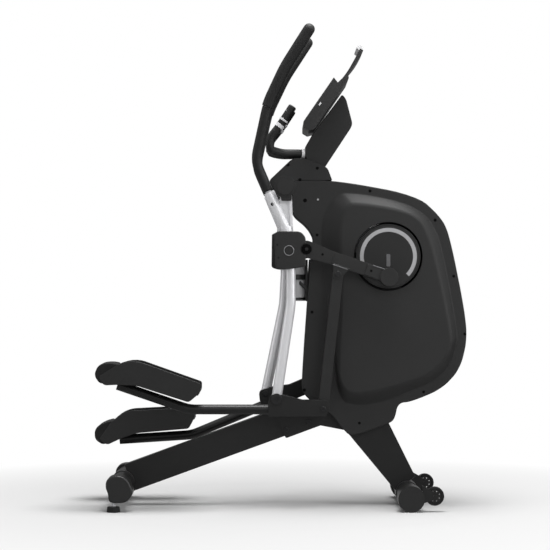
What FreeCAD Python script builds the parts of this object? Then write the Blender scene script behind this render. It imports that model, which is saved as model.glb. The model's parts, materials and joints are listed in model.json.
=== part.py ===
import FreeCAD, Part
import math
import os
import re
import Sketcher

# Elliptical trainer with a front drive: a slanted base beam on two stabilizer bars, a housing with the
# crank and flywheel at the front, and on each side a swing arm, a connecting rod, a drop link and a
# pedal arm that make one linkage.
#
# Millimetres. +X points to the front of the machine, +Z up. Sizes in x count from a point a little behind
# the middle, and every finished piece is moved back by datum_x, so that the origin is on the floor under
# the middle of the machine's box. "near" pieces lie on the -Y side and "far" pieces on the +Y side.
# At rest the near crank points straight down and the far crank straight up.
# Pieces of the linkage are drawn in frames of their own, whose origin is the pivot they turn on, and are
# then placed by the solved linkage. What differs between their two faces is given as a reach outwards.

doc = FreeCAD.newDocument("elliptical_trainer")

SIZES = (
    ("frame", "datum_x", 17.9, "middle of the machine's box, forward of the zero of the x sizes below"),
    ("linkage", "axle_x", 407, "crank axle, forward of the middle"),
    ("linkage", "axle_z", 891, "crank axle, above the floor"),
    ("linkage", "crank_throw", 73, "crank axle to crank pin"),
    ("linkage", "pivot_x", 40, "swing arm pivot, forward of the middle"),
    ("linkage", "pivot_z", 1134, "swing arm pivot, above the floor"),
    ("linkage", "eye_fore", 76, "rod eye on the swing arm, forward of its pivot"),
    ("linkage", "eye_drop", 218, "rod eye on the swing arm, below its pivot"),
    ("linkage", "heel_back", 30, "lower eye of the swing arm, behind its pivot"),
    ("linkage", "heel_drop", 745, "lower eye of the swing arm, below its pivot"),
    ("linkage", "rod_span", 307, "rod eye to crank pin"),
    ("linkage", "lug_along", 133, "drop link's top pin, along the rod"),
    ("linkage", "lug_drop", 48, "drop link's top pin, below the rod's middle"),
    ("linkage", "link_span", 477, "top pin to bottom pin of the drop link"),
    ("linkage", "toe_fore", 165, "drop link's bottom pin, forward of the lower eye"),
    ("linkage", "toe_drop", 35, "drop link's bottom pin, below the lower eye"),
    ("linkage", "arm_y", 155, "middle plane of each linkage, from the machine's middle"),
    ("fits", "gap", 0.3, "air between pieces that move past each other"),
    ("fits", "running", 0.06, "radial play of a shaft in its bore"),
    ("fits", "slack", 1.6, "radial play of the open joint at the drop link's foot"),
    ("swing arm", "tube_radius", 18, "swing arm and handle tubes"),
    ("swing arm", "tube_wall", 2.5, "wall of the bent tubes"),
    ("swing arm", "pivot_radius", 12.5, "pivot axle of both swing arms"),
    ("swing arm", "hub_radius", 28, "hub barrel of the casting"),
    ("swing arm", "hub_inner", 66, "hub barrel, from the arm's plane towards the middle"),
    ("swing arm", "hub_outer", 22, "hub barrel, from the arm's plane outwards"),
    ("swing arm", "cap_radius", 38, "round cap on the hub"),
    ("swing arm", "cap_outer", 38, "face of the round cap, from the arm's plane outwards"),
    ("swing arm", "cap_wall", 5, "wall of the round cap"),
    ("swing arm", "socket_drop", 143, "mouth of the lower tube, below the pivot"),
    ("swing arm", "handle_back", 58, "foot of the handle tube, behind the pivot"),
    ("swing arm", "handle_drop", 14, "foot of the handle tube, below the pivot"),
    ("swing arm", "elbow_back", 104, "elbow of the handle tube, behind the pivot"),
    ("swing arm", "elbow_rise", 92, "elbow of the handle tube, above the pivot"),
    ("swing arm", "grip_back", 60, "foot of the grip, behind the pivot"),
    ("swing arm", "grip_rise", 292, "foot of the grip, above the pivot"),
    ("swing arm", "grip_mid_rise", 419, "bend of the grip, above the pivot"),
    ("swing arm", "top_fore", 86, "top of the grip, forward of the pivot"),
    ("swing arm", "top_rise", 553, "top of the grip, above the pivot"),
    ("swing arm", "handle_flare", 62, "how far the grips lean outwards at the top"),
    ("swing arm", "handle_radius", 14, "steel tube of the handle"),
    ("swing arm", "foam_radius", 18, "foam on the lower handle"),
    ("swing arm", "grip_radius", 19.5, "foam grip"),
    ("swing arm", "far_set", 3, "degrees that the far handle is set back in its socket"),
    ("swing arm", "box_half", 34, "half the thickness of the arm box"),
    ("swing arm", "box_wall", 3, "wall of the arm box"),
    ("swing arm", "eye_radius", 20, "eye for the rod bolt"),
    ("swing arm", "eye_half", 12, "half the thickness of the rod eye"),
    ("swing arm", "pin_radius", 8, "rod bolt and lower bolt"),
    ("swing arm", "barrel_half", 18.5, "half the width of the lower eye"),
    ("rod", "rod_deep", 45, "height of the connecting rod's tube"),
    ("rod", "rod_thick", 26, "thickness of the connecting rod's tube"),
    ("rod", "plate_thick", 5, "side plates of rod and pedal arm"),
    ("rod", "cup_radius", 32, "cup over the crank pin"),
    ("rod", "cup_wall", 4, "wall of that cup"),
    ("rod", "cup_inner", 22, "cup, from the arm's plane towards the middle"),
    ("rod", "cup_outer", 24, "cup, from the arm's plane outwards"),
    ("link", "link_wide", 37, "width of the drop link"),
    ("link", "link_thick", 24, "thickness of the drop link"),
    ("link", "link_pin", 6, "radius of the drop link's pins"),
    ("pedal", "bar_radius", 17.5, "pedal arm tube"),
    ("pedal", "bar_drop", 38, "pedal arm tube, below the lower eye"),
    ("pedal", "bend_back", 308, "bend of the pedal arm tube, behind the lower eye"),
    ("pedal", "bar_back", 560, "rear end of the pedal arm tube, behind the lower eye"),
    ("pedal", "bar_rise", 48, "rear end of the pedal arm tube, above the lower eye"),
    ("pedal", "tray_half", 75, "half the width of a pedal"),
    ("pedal", "tray_wall", 5, "wall of a pedal"),
    ("pedal", "tray_floor", 60, "foot plate, above the tube's middle line"),
    ("pedal", "tray_top", 104, "side lips, above the tube's middle line"),
    ("pedal", "pad_thick", 5, "rubber foot pad"),
    ("drive", "axle_radius", 12, "crank axle"),
    ("drive", "crank_y", 102, "middle of a crank arm, from the machine's middle"),
    ("drive", "crank_thick", 12, "crank arms"),
    ("drive", "disc_radius", 117, "crank discs"),
    ("drive", "disc_thick", 4, "crank discs"),
    ("drive", "stud_radius", 7, "crank pins"),
    ("drive", "pulley_radius", 120, "drive pulley"),
    ("drive", "belt_wide", 16, "drive belt"),
    ("drive", "belt_y", 42, "middle of the belt, from the machine's middle"),
    ("drive", "fly_x", 490, "flywheel axle, forward of the middle"),
    ("drive", "fly_z", 585, "flywheel axle, above the floor"),
    ("drive", "fly_radius", 140, "flywheel"),
    ("drive", "fly_wide", 34, "flywheel rim"),
    ("drive", "fly_pulley", 24, "flywheel pulley"),
    ("frame", "beam_deep", 100, "depth of the base beam"),
    ("frame", "beam_wide", 60, "width of the base beam"),
    ("frame", "beam_wall", 3, "wall of beam, leg and post"),
    ("frame", "beam_slope", 20, "degrees that the base beam rises towards the front"),
    ("frame", "beam_front_x", 92, "front end of the base beam"),
    ("frame", "beam_front_z", 320, "front end of the base beam, its middle line"),
    ("frame", "beam_long", 649, "length of the base beam"),
    ("frame", "stab_radius", 38, "stabilizer bars"),
    ("frame", "stab_half", 235, "half the length of a stabilizer bar"),
    ("frame", "cap_out", 35, "how far an end cap stands out past its bar"),
    ("frame", "front_x", 479, "front stabilizer, forward of the middle"),
    ("frame", "front_cap", 46, "radius of the front end caps"),
    ("frame", "rear_x", 540, "rear stabilizer, behind the middle"),
    ("frame", "rear_z", 84, "rear stabilizer, above the floor"),
    ("frame", "foot_radius", 24, "pad of a levelling foot"),
    ("frame", "foot_high", 22, "pad of a levelling foot"),
    ("frame", "foot_back", 557, "levelling feet, behind the middle"),
    ("frame", "stem_radius", 5, "screw of a levelling foot"),
    ("frame", "rear_cap_low", 32, "lower edge of the rear end caps"),
    ("frame", "foot_y", 252, "levelling feet, from the machine's middle"),
    ("frame", "wheel_x", 561, "transport wheels, forward of the middle"),
    ("frame", "wheel_z", 55, "transport wheels, above the floor"),
    ("frame", "wheel_radius", 33, "transport wheels"),
    ("frame", "wheel_wide", 22, "transport wheels"),
    ("frame", "wheel_y", 240, "transport wheels, from the machine's middle"),
    ("housing", "flange_half", 70, "half the width of the housing at its edge"),
    ("housing", "panel_half", 104, "half the width of the housing at its raised panel"),
    ("housing", "skin", 3, "wall of the housing"),
    ("console", "mast_half", 56, "half the width of the console mast"),
    ("console", "console_half", 165, "half the width of the console"),
    ("console", "bar_y", 38, "fixed handlebar tubes at the mast, from the middle"),
    ("console", "bar_spread", 98, "fixed handlebar grips, from the middle"),
    ("console", "bar_tube", 14.5, "radius of the fixed handlebar"),
)

sheet = doc.addObject("Spreadsheet::Sheet", "sizes")
for row, (group, alias, number, meaning) in enumerate(SIZES, start=1):
    sheet.set(f"A{row}", group)
    sheet.set(f"B{row}", str(number))
    sheet.setAlias(f"B{row}", alias)
    sheet.set(f"C{row}", meaning)
doc.recompute()
ALIASES = {alias for _, alias, _, _ in SIZES}
MADE = []


def bound(formula):
    """A formula in the sheet's words, as the document's expression engine reads it."""
    return re.sub(r"[a-z][a-z_]*", lambda m: f"sizes.{m[0]}" if m[0] in ALIASES else m[0], str(formula))


def size(formula):
    """The number that such a formula gives."""
    found = sheet.evalExpression(bound(formula))
    return float(getattr(found, "Value", found))


def tie(thing, **formulas):
    for prop, formula in formulas.items():
        thing.setExpression(prop.replace("__", "."), bound(formula))
    return thing


def new(kind, **properties):
    thing = doc.addObject(kind, "piece")
    for prop, value in properties.items():
        setattr(thing, prop, value)
    return thing


ACROSS = FreeCAD.Rotation(FreeCAD.Vector(1, 0, 0), -90)


def reach(inner, outer, outward):
    """Low and high y, as formulas, of something that reaches from inner to outer, counted outwards."""
    return (inner, outer) if outward > 0 else (f"-({outer})", f"-({inner})")


def bar(radius, inner, outer, x="0", z="0", outward=1):
    """A round bar across the machine."""
    low, high = reach(inner, outer, outward)
    thing = tie(new("Part::Cylinder", Placement=FreeCAD.Placement(FreeCAD.Vector(), ACROSS)), Radius=radius,
                Height=f"({high}) - ({low})")
    return tie(thing, Placement__Base__x=x, Placement__Base__y=low, Placement__Base__z=z)


def stick(radius, start, end):
    """A round bar from one point to another."""
    a, b = FreeCAD.Vector(*start), FreeCAD.Vector(*end)
    turn = FreeCAD.Rotation(FreeCAD.Vector(0, 0, 1), b - a)
    thing = new("Part::Cylinder", Height=(b - a).Length, Placement=FreeCAD.Placement(a, turn))
    return tie(thing, Radius=radius)


def block(long, wide, high, at):
    """A box centred on a point."""
    box = tie(new("Part::Box"), Length=long, Width=wide, Height=high)
    for name, middle, extent in zip("xyz", at, (long, wide, high)):
        box.setExpression(f"Placement.Base.{name}", bound(f"({middle}) - ({extent}) / 2"))
    return box


def fuse(*parts):
    return new("Part::MultiFuse", Shapes=list(parts))


def cut(base, *tools):
    return new("Part::Cut", Base=base, Tool=tools[0] if len(tools) == 1 else fuse(*tools))


def common(one, other):
    return new("Part::Common", Base=one, Tool=other)


def group(*parts):
    """Separate solids that share one node."""
    return new("Part::Compound", Links=list(parts))


def keep(thing, label):
    """Makes a finished sub-part in the machine's own frame, named as its node."""
    whole = group(thing)
    whole.Placement = FreeCAD.Placement(FreeCAD.Vector(-size("datum_x"), 0, 0), FreeCAD.Rotation())
    tie(whole, Placement__Base__x="-datum_x")
    whole.Label = label
    MADE.append(whole)


def profile(points, inner, outer, outward=1, corners=None):
    """A padded sketch of the side view, reaching from inner to outer. Corners are one radius or one each."""
    low, high = reach(inner, outer, outward)
    body = doc.addObject("PartDesign::Body", "plate")
    side = [f for f in body.Origin.OriginFeatures if f.Role == "XZ_Plane"][0]
    sketch = body.newObject("Sketcher::SketchObject", "outline")
    sketch.AttachmentSupport = (side, [""])
    sketch.MapMode = "FlatFace"
    flat = [FreeCAD.Vector(size(x), size(z), 0) for x, z in points]
    count = len(flat)
    for n in range(count):
        sketch.addGeometry(Part.LineSegment(flat[n], flat[(n + 1) % count]), False)
    for n in range(count):
        sketch.addConstraint(Sketcher.Constraint("Coincident", n, 2, (n + 1) % count, 1))
    for n, (x, z) in enumerate(points):
        for kind, formula in (("DistanceX", x), ("DistanceY", z)):
            at = sketch.addConstraint(Sketcher.Constraint(kind, -1, 1, n, 1, size(formula)))
            sketch.setExpression(f"Constraints[{at}]", bound(formula))
    pad = body.newObject("PartDesign::Pad", "pad")
    pad.Profile = sketch
    tie(pad, Length=f"({high}) - ({low})")
    sketch.setExpression("AttachmentOffset.Base.z", bound(f"-({high})"))
    radii = list(corners) if isinstance(corners, (list, tuple)) else [corners] * count
    last = pad
    for radius in sorted({r for r in radii if r}):
        doc.recompute()
        wanted = [flat[n] for n in range(count) if radii[n] == radius]
        names = []
        for n, edge in enumerate(last.Shape.Edges, start=1):
            end = edge.Vertexes[0].Point
            upright = len(edge.Vertexes) == 2 and abs(end.y - edge.Vertexes[1].Point.y) > 1e-3
            if upright and any(abs(end.x - w.x) + abs(end.z - w.y) < 1e-4 for w in wanted):
                names.append(f"Edge{n}")
        rounding = body.newObject("PartDesign::Fillet", "corners")
        rounding.Base = (last, names)
        rounding.Radius = radius
        last = rounding
    return body


def bent(points, radii, radius):
    """A round bar swept along straight runs that are joined by tangent arcs."""
    vectors = [FreeCAD.Vector(*p) for p in points]
    edges, start = [], vectors[0]
    for before, corner, after, bend in zip(vectors, vectors[1:], vectors[2:], radii):
        a, b = (before - corner).normalize(), (after - corner).normalize()
        half = a.getAngle(b) / 2
        inner = (a + b).normalize() * (bend / math.sin(half))
        first, last = corner + a * (bend / math.tan(half)), corner + b * (bend / math.tan(half))
        middle = corner + inner - inner.normalize() * bend
        edges += [Part.LineSegment(start, first).toShape(), Part.Arc(first, middle, last).toShape()]
        start = last
    edges.append(Part.LineSegment(start, vectors[-1]).toShape())
    run = new("Part::Feature", Shape=Part.Wire(edges))
    turn = FreeCAD.Rotation(FreeCAD.Vector(0, 0, 1), vectors[1] - vectors[0])
    ring = tie(new("Part::Circle", Placement=FreeCAD.Placement(vectors[0], turn)), Radius=radius)
    names = [f"Edge{n}" for n in range(1, len(edges) + 1)]
    return new("Part::Sweep", Sections=[ring], Spine=(run, names), Solid=True, Frenet=False)


def bent_tube(points, radii, radius, wall):
    return cut(bent(points, radii, radius), bent(points, radii, f"{radius} - {wall}"))


def smooth_outline(points, y, share=0.42, widen=0.0):
    """A closed outline of the side view at one y, with corners as round as its runs allow."""
    vectors = [FreeCAD.Vector(x, y, z) for x, z in points]
    count = len(vectors)
    ends = []
    for n, corner in enumerate(vectors):
        one, other = vectors[n - 1] - corner, vectors[(n + 1) % count] - corner
        back = share * min(one.Length, other.Length)
        a, b = one.normalize(), other.normalize()
        half = a.getAngle(b) / 2
        middle = corner + (a + b).normalize() * (back / math.cos(half) - back * math.tan(half))
        ends.append((corner + a * back, middle, corner + b * back))
    edges = []
    for n, (first, middle, last) in enumerate(ends):
        edges.append(Part.Arc(first, middle, last).toShape())
        edges.append(Part.LineSegment(last, ends[(n + 1) % count][0]).toShape())
    wire = Part.Wire(edges)
    return wire.makeOffset2D(widen) if widen else wire


def across(wire, reach_y):
    """A closed outline made solid across the machine."""
    return Part.Face(wire).extrude(FreeCAD.Vector(0, reach_y, 0))


def made(shape):
    """A piece whose curved shape comes from Part's own functions."""
    return new("Part::Feature", Shape=shape)


# The linkage at rest -------------------------------------------------------------------------------


def turned(x, z, degrees):
    """A point of the side view turned from +X towards +Z."""
    c, s = math.cos(math.radians(degrees)), math.sin(math.radians(degrees))
    return x * c - z * s, x * s + z * c


def meeting(a, a_reach, b, b_reach, side):
    """Where two circles of the side view meet, on one side of the line from a to b."""
    dx, dz = b[0] - a[0], b[1] - a[1]
    apart = math.hypot(dx, dz)
    along = (a_reach**2 - b_reach**2 + apart**2) / (2 * apart)
    off = side * math.sqrt(a_reach**2 - along**2)
    return a[0] + (along * dx - off * dz) / apart, a[1] + (along * dz + off * dx) / apart


def heading(a, b):
    return math.degrees(math.atan2(b[1] - a[1], b[0] - a[0]))


def linkage(crank_heading):
    """Where each piece of one side's linkage is drawn from and how far it turns, for one crank heading."""
    pivot = (size("pivot_x"), size("pivot_z"))
    throw = turned(size("crank_throw"), 0, crank_heading)
    pin = (size("axle_x") + throw[0], size("axle_z") + throw[1])
    eye_reach = math.hypot(size("eye_fore"), size("eye_drop"))
    eye = meeting(pivot, eye_reach, pin, size("rod_span"), -1)
    arm_turn = heading(pivot, eye) - heading((0, 0), (size("eye_fore"), -size("eye_drop")))
    rod_turn = heading(eye, pin)
    heel = turned(-size("heel_back"), -size("heel_drop"), arm_turn)
    heel = (pivot[0] + heel[0], pivot[1] + heel[1])
    lug = turned(size("lug_along"), -size("lug_drop"), rod_turn)
    lug = (eye[0] + lug[0], eye[1] + lug[1])
    toe_reach = math.hypot(size("toe_fore"), size("toe_drop"))
    toe = meeting(heel, toe_reach, lug, size("link_span"), -1)
    return {
        "arm": (pivot, arm_turn),
        "rod": (eye, rod_turn),
        "link": (lug, heading(lug, toe) + 90),
        "pedal": (heel, heading(heel, toe) - heading((0, 0), (size("toe_fore"), -size("toe_drop")))),
        "toe": (toe, 0),
        "pin": (pin, crank_heading),
    }


SIDES = {"near": (-1, linkage(-90)), "far": (1, linkage(90))}


def place(thing, side, piece, label):
    """Puts a piece drawn about its own pivot where the solved linkage has it, as a finished sub-part."""
    outward, solved = SIDES[side]
    (x, z), turn = solved[piece]
    middle = FreeCAD.Vector(x, outward * size("arm_y"), z)
    laid = group(thing)
    laid.Placement = FreeCAD.Placement(middle, FreeCAD.Rotation(FreeCAD.Vector(0, -1, 0), turn))
    keep(laid, f"{side}_{label}")


# Swing arms ----------------------------------------------------------------------------------------


def handle_line(outward, turn):
    """Corners of the handle, from its foot to the top of the grip."""
    corners = (
        ("-handle_back", 0, "-handle_drop"),
        ("-elbow_back", 0.08, "elbow_rise"),
        ("-grip_back", 0.45, "grip_rise"),
        (0, 0.7, "grip_mid_rise"),
        ("top_fore", 1, "top_rise"),
    )
    line = []
    for x, lean, z in corners:
        x, z = turned(size(x), size(z), turn)
        line.append(FreeCAD.Vector(x, outward * lean * size("handle_flare"), z))
    return line


def swing_arm(side):
    outward = SIDES[side][0]
    line = handle_line(outward, size("far_set") if side == "far" else 0)
    collar = FreeCAD.Vector(4, 0, -size("socket_drop"))
    down = (FreeCAD.Vector(20, 0, -300) - collar).normalize()
    foot = line[0]
    up = (line[1] - foot).normalize()
    leg = (foot - collar).normalize()
    seat = foot - leg * 4

    casting = fuse(
        bar("hub_radius", "-hub_inner", "hub_outer", outward=outward),
        profile([(-16, -12), (21, -12), (27, "4 - socket_drop"), (-18, "4 - socket_drop")], -9, 9),
        profile([(12, -16), (24, -16), (28, "4 - socket_drop"), (19, "4 - socket_drop")], -17, 17),
        stick("tube_radius + 1.5", collar, seat),
        stick("handle_radius - tube_wall - gap", foot - up * 12, foot + up * 34),
        stick("tube_radius + 6", collar - down * 5, collar + down * 14),
    )
    mouth = stick("tube_radius + gap", collar + down * 2, collar + down * 20)
    bore = bar("pivot_radius + running", "-hub_inner - 1", "hub_outer + 1", outward=outward)
    place(cut(casting, bore, mouth), side, "arm", "arm_casting")

    heel = (-size("heel_back"), 0, -size("heel_drop"))
    drop = [collar + down * (2 + size("gap")), (20, 0, -300), (20, 0, -415), heel]
    tube = fuse(
        bent(drop, [220, 300], "tube_radius"),
        bar("tube_radius + 1", "-barrel_half", "barrel_half", "-heel_back", "-heel_drop"),
        profile([(14, -186), ("eye_fore", "eye_radius - eye_drop"), ("eye_fore", "-eye_radius - eye_drop"),
                 (14, -258)], "-eye_half", "eye_half"),
        bar("eye_radius", "-eye_half", "eye_half", "eye_fore", "-eye_drop"),
    )
    tube = cut(tube, bent(drop, [220, 300], "tube_radius - tube_wall"),
               bar("pin_radius + running", -40, 40, "eye_fore", "-eye_drop"),
               bar("pin_radius + running", -40, 40, "-heel_back", "-heel_drop"))
    place(tube, side, "arm", "swing_tube")

    bends = [110, 300, 500]
    start = [foot + up * 1] + line[1:]
    place(cut(bent(start, bends, "handle_radius"), bent(start, bends, "handle_radius - tube_wall")),
          side, "arm", "handle_tube")
    split = line[2]
    lean = (split - line[1]).normalize()
    core = bent(start, bends, "handle_radius + gap")
    lower = cut(bent([foot + up * 6] + line[1:], bends, "foam_radius"), core,
                stick(300, split, split + lean * 900))
    tip = line[-1]
    end = (tip - line[-2]).normalize()
    ball = new("Part::Sphere", Placement=FreeCAD.Placement(tip - end * 2, FreeCAD.Rotation()))
    grip = fuse(common(bent(start, bends, "grip_radius"), stick(300, split + lean, split + lean * 900)),
                tie(ball, Radius="grip_radius"))
    bore = bent(start[:-1] + [tip + end * size("gap")], bends, "handle_radius + gap")
    place(group(lower, cut(grip, bore)), side, "arm", "handle_foam")

    outline = [(-38, -163), (-24, -155), (56, -156), (73, -178), (73, -279), (40, -285), (-6, -291),
               (-33, -284)]
    inner = [(-35, -166), (-22, -158), (54, -159), (70, -180), (70, -276), (40, -282), (-6, -288),
             (-30, -281)]
    shells = []
    for way in (1, -1):
        shell = cut(
            profile(outline, 0.15, "box_half", way, [4, 4, 12, 8, 3, 0, 10, 8]),
            profile(inner, 0, "box_half - box_wall", way),
            block(20, "2 * (box_half - box_wall)", 96, (72, 0, -228)),
            stick("tube_radius + 6 + gap", collar - down * 20, collar + down * 30),
            stick("tube_radius + 2", (20, 0, -270), (20, 0, -300)),
            bar("eye_radius + 2", "box_half - box_wall - 1", "box_half + 1", "eye_fore", "-eye_drop", way),
        )
        shells.append(shell)
    place(group(*shells), side, "arm", "arm_box")

    cap = fuse(
        bar("cap_radius", "hub_outer + gap", "cap_outer", outward=outward),
        profile([(-17, -20), (24, -20), (24, -49), (-12, -49)], 26, "cap_outer", outward, 4),
    )
    cap = cut(cap, bar("hub_radius + gap", 0, "cap_outer - cap_wall", outward=outward))
    place(cap, side, "arm", "hub_cap")

    face = "rod_thick / 2 + plate_thick + gap"
    eye = ("eye_fore", "-eye_drop")
    star = bar("eye_radius - 3", face, f"{face} + 4", *eye, outward)
    notches = []
    for n in range(10):
        x, z = turned(size("eye_radius - 3"), 0, 36 * n)
        notches.append(bar(2.2, 0, 60, f"eye_fore + {x}", f"{z} - eye_drop", outward))
    bolt = fuse(
        bar("pin_radius", f"-({face}) - 6", f"{face} + 6", *eye, outward),
        cut(star, *notches),
        bar(11, f"{face} + 4", f"{face} + 9", *eye, outward),
        bar(12, f"-({face}) - 8", f"-({face})", *eye, outward),
    )
    place(bolt, side, "arm", "rod_bolt")


# Connecting rods, drop links and pedal arms --------------------------------------------------------


def connecting_rod(side):
    """Drawn from its eye towards the crank pin. The cup over the pin is open towards the crank."""
    outward = SIDES[side][0]
    wide, outer, half = "rod_thick / 2", "rod_thick / 2 + plate_thick", "rod_deep / 2"
    long = "rod_span - cup_radius - 32"
    tube = cut(block(long, "rod_thick", "rod_deep", (f"40 + ({long}) / 2", 0, 0)),
               block(f"{long} - 10", "rod_thick - 5", "rod_deep - 5", (f"40 + ({long}) / 2", 0, 0)))
    parts = [tube]
    for way in (1, -1):
        parts += [
            profile([(0, 30), (96, half), (96, f"-{half}"), (0, -30)], wide, outer, way),
            bar(30, wide, outer, outward=way),
            profile([(222, f"{half} - 4"), ("rod_span", f"{half} - 1"), ("rod_span", f"1 - {half}"),
                     (222, f"4 - {half}")], wide, outer, way),
            profile([("lug_along - 28", f"6 - {half}"), ("lug_along + 34", f"6 - {half}"),
                     ("lug_along + 18", "-lug_drop"), ("lug_along - 18", "-lug_drop")], wide, outer, way),
            bar("link_wide / 2", wide, outer, "lug_along", "-lug_drop", way),
        ]
    parts.append(bar("cup_radius", "-cup_inner", "cup_outer", "rod_span", 0, outward))
    rod = cut(fuse(*parts),
              bar("cup_radius - cup_wall", "-cup_inner - 1", "cup_outer - cup_wall", "rod_span", 0, outward),
              bar("pin_radius + running", -60, 60),
              bar("link_pin + running", -60, 60, "lug_along", "-lug_drop"))
    place(rod, side, "rod", "connecting_rod")


def drop_link(side):
    """A flat bar hanging from its top pin, which turns in the rod's lug plates."""
    half = "link_wide / 2"
    face = "rod_thick / 2 + plate_thick + gap"
    parts = [block("link_wide", "link_thick", "link_span", (0, 0, "-link_span / 2"))]
    for z in ("0", "-link_span"):
        parts.append(bar(half, "-link_thick / 2", "link_thick / 2", 0, z))
    parts.append(bar("link_pin", f"-({face}) - 1", f"{face} + 1"))
    for way in (1, -1):
        parts.append(bar(11, face, f"{face} + 5", outward=way))
    parts.append(bar(f"{half} - 4", "-barrel_half", "barrel_half", 0, "-link_span"))
    place(cut(fuse(*parts), bar("link_pin + slack", -60, 60, 0, "-link_span")), side, "link", "drop_link")


def pedal_arm(side):
    """Drawn from its upper eye. A bent tube runs back to the pedal, and two side plates carry the pins."""
    outward = SIDES[side][0]
    low, high = "barrel_half + gap", "barrel_half + gap + plate_thick + 1"
    line = [(70, 0, -size("bar_drop")), (-size("bend_back"), 0, -size("bar_drop")),
            (-size("bar_back"), 0, size("bar_rise"))]
    outline = [(-30, -16), (-20, 18), (24, 14), (92, -4), (178, -3), (188, -35), (174, -60), (-28, -62)]
    parts = [bent(line, [140], "bar_radius")]
    for way in (1, -1):
        parts.append(profile(outline, low, high, way, [6, 18, 18, 0, 12, 12, 14, 4]))
    parts.append(block(16, f"2 * ({high})", 24, (63, 0, "-bar_drop - 6")))
    arm = cut(fuse(*parts), bent(line, [140], "bar_radius - tube_wall"),
              bar("pin_radius + running", -60, 60),
              bar("link_pin + running", -60, 60, "toe_fore", "-toe_drop"))
    place(arm, side, "pedal", "pedal_arm")

    face = f"{high} + gap"
    toe = ("toe_fore", "-toe_drop")
    heel_bolt = fuse(bar("pin_radius", f"-({face}) - 4", f"{face} + 4"),
                     bar(20, face, f"{face} + 7", outward=outward),
                     bar(13, f"-({face}) - 7", f"-({face})", outward=outward))
    toe_bolt = fuse(bar("link_pin", f"-({face}) - 4", f"{face} + 4", *toe),
                    bar(10, face, f"{face} + 5", *toe, outward),
                    bar(10, f"-({face}) - 6", f"-({face})", *toe, outward))
    place(group(heel_bolt, toe_bolt), side, "pedal", "pedal_bolts")


def pedal(side):
    """Drawn along the rear run of the pedal tube: +X back along the tube, +Z up from its middle line."""
    half, wall = "tray_half", "tray_wall"
    floor = size("tray_floor")
    outline = [(8, 28), (-20, 74), (-10, "tray_top"), (236, "tray_top + 3"), (286, 72), (320, 66), (352, 44),
               (352, 8), (308, -12), (262, 6), (200, 24)]
    tray = profile(outline, f"-{half}", half, 1, [6, 8, 4, 20, 12, 12, 14, 14, 10, 12, 12])
    inside = (f"{wall} - {half}", f"{half} - {wall}")
    well = profile([(-2, floor), (-16, floor + 84), (244, floor + 84), (274, floor)], *inside)
    under = profile([(18, 20), (0, floor - 5), (178, floor - 5), (178, 0)], *inside)
    hollow = profile([(188, 0), (188, floor - 5), (262, floor - 5), (262, 0)], f"{wall} - {half}",
                     "-bar_radius - 8")
    mirror = profile([(188, 0), (188, floor - 5), (262, floor - 5), (262, 0)], "bar_radius + 8",
                     f"{half} - {wall}")
    foot = block(20, 26, f"{floor} - 10", (80, 0, f"({floor} - 10) / 2 + 8"))
    channel = stick("bar_radius + gap", (-80, 0, 0), (304, 0, 0))
    tray = cut(fuse(cut(tray, well, under, hollow, mirror), foot), channel)
    top = f"{floor} + gap"
    pad = profile([(4, top), (2, f"{top} + pad_thick"), (258, f"{top} + pad_thick"), (262, top)],
                  f"{wall} + 2 - {half}", f"{half} - {wall} - 2")
    slope = math.degrees(math.atan2(size("bar_rise + bar_drop"), size("bar_back - bend_back")))
    turn = FreeCAD.Rotation(FreeCAD.Vector(0, 1, 0), slope) * FreeCAD.Rotation(FreeCAD.Vector(0, 0, 1), 180)
    seat = FreeCAD.Placement(FreeCAD.Vector(-size("bend_back"), 0, -size("bar_drop")), turn)
    for piece, label in ((tray, "pedal_tray"), (pad, "pedal_pad")):
        laid = group(piece)
        laid.Placement = seat
        place(laid, side, "pedal", label)


for side in SIDES:
    swing_arm(side)
    connecting_rod(side)
    drop_link(side)
    pedal_arm(side)
    pedal(side)


# Drive ---------------------------------------------------------------------------------------------


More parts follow.
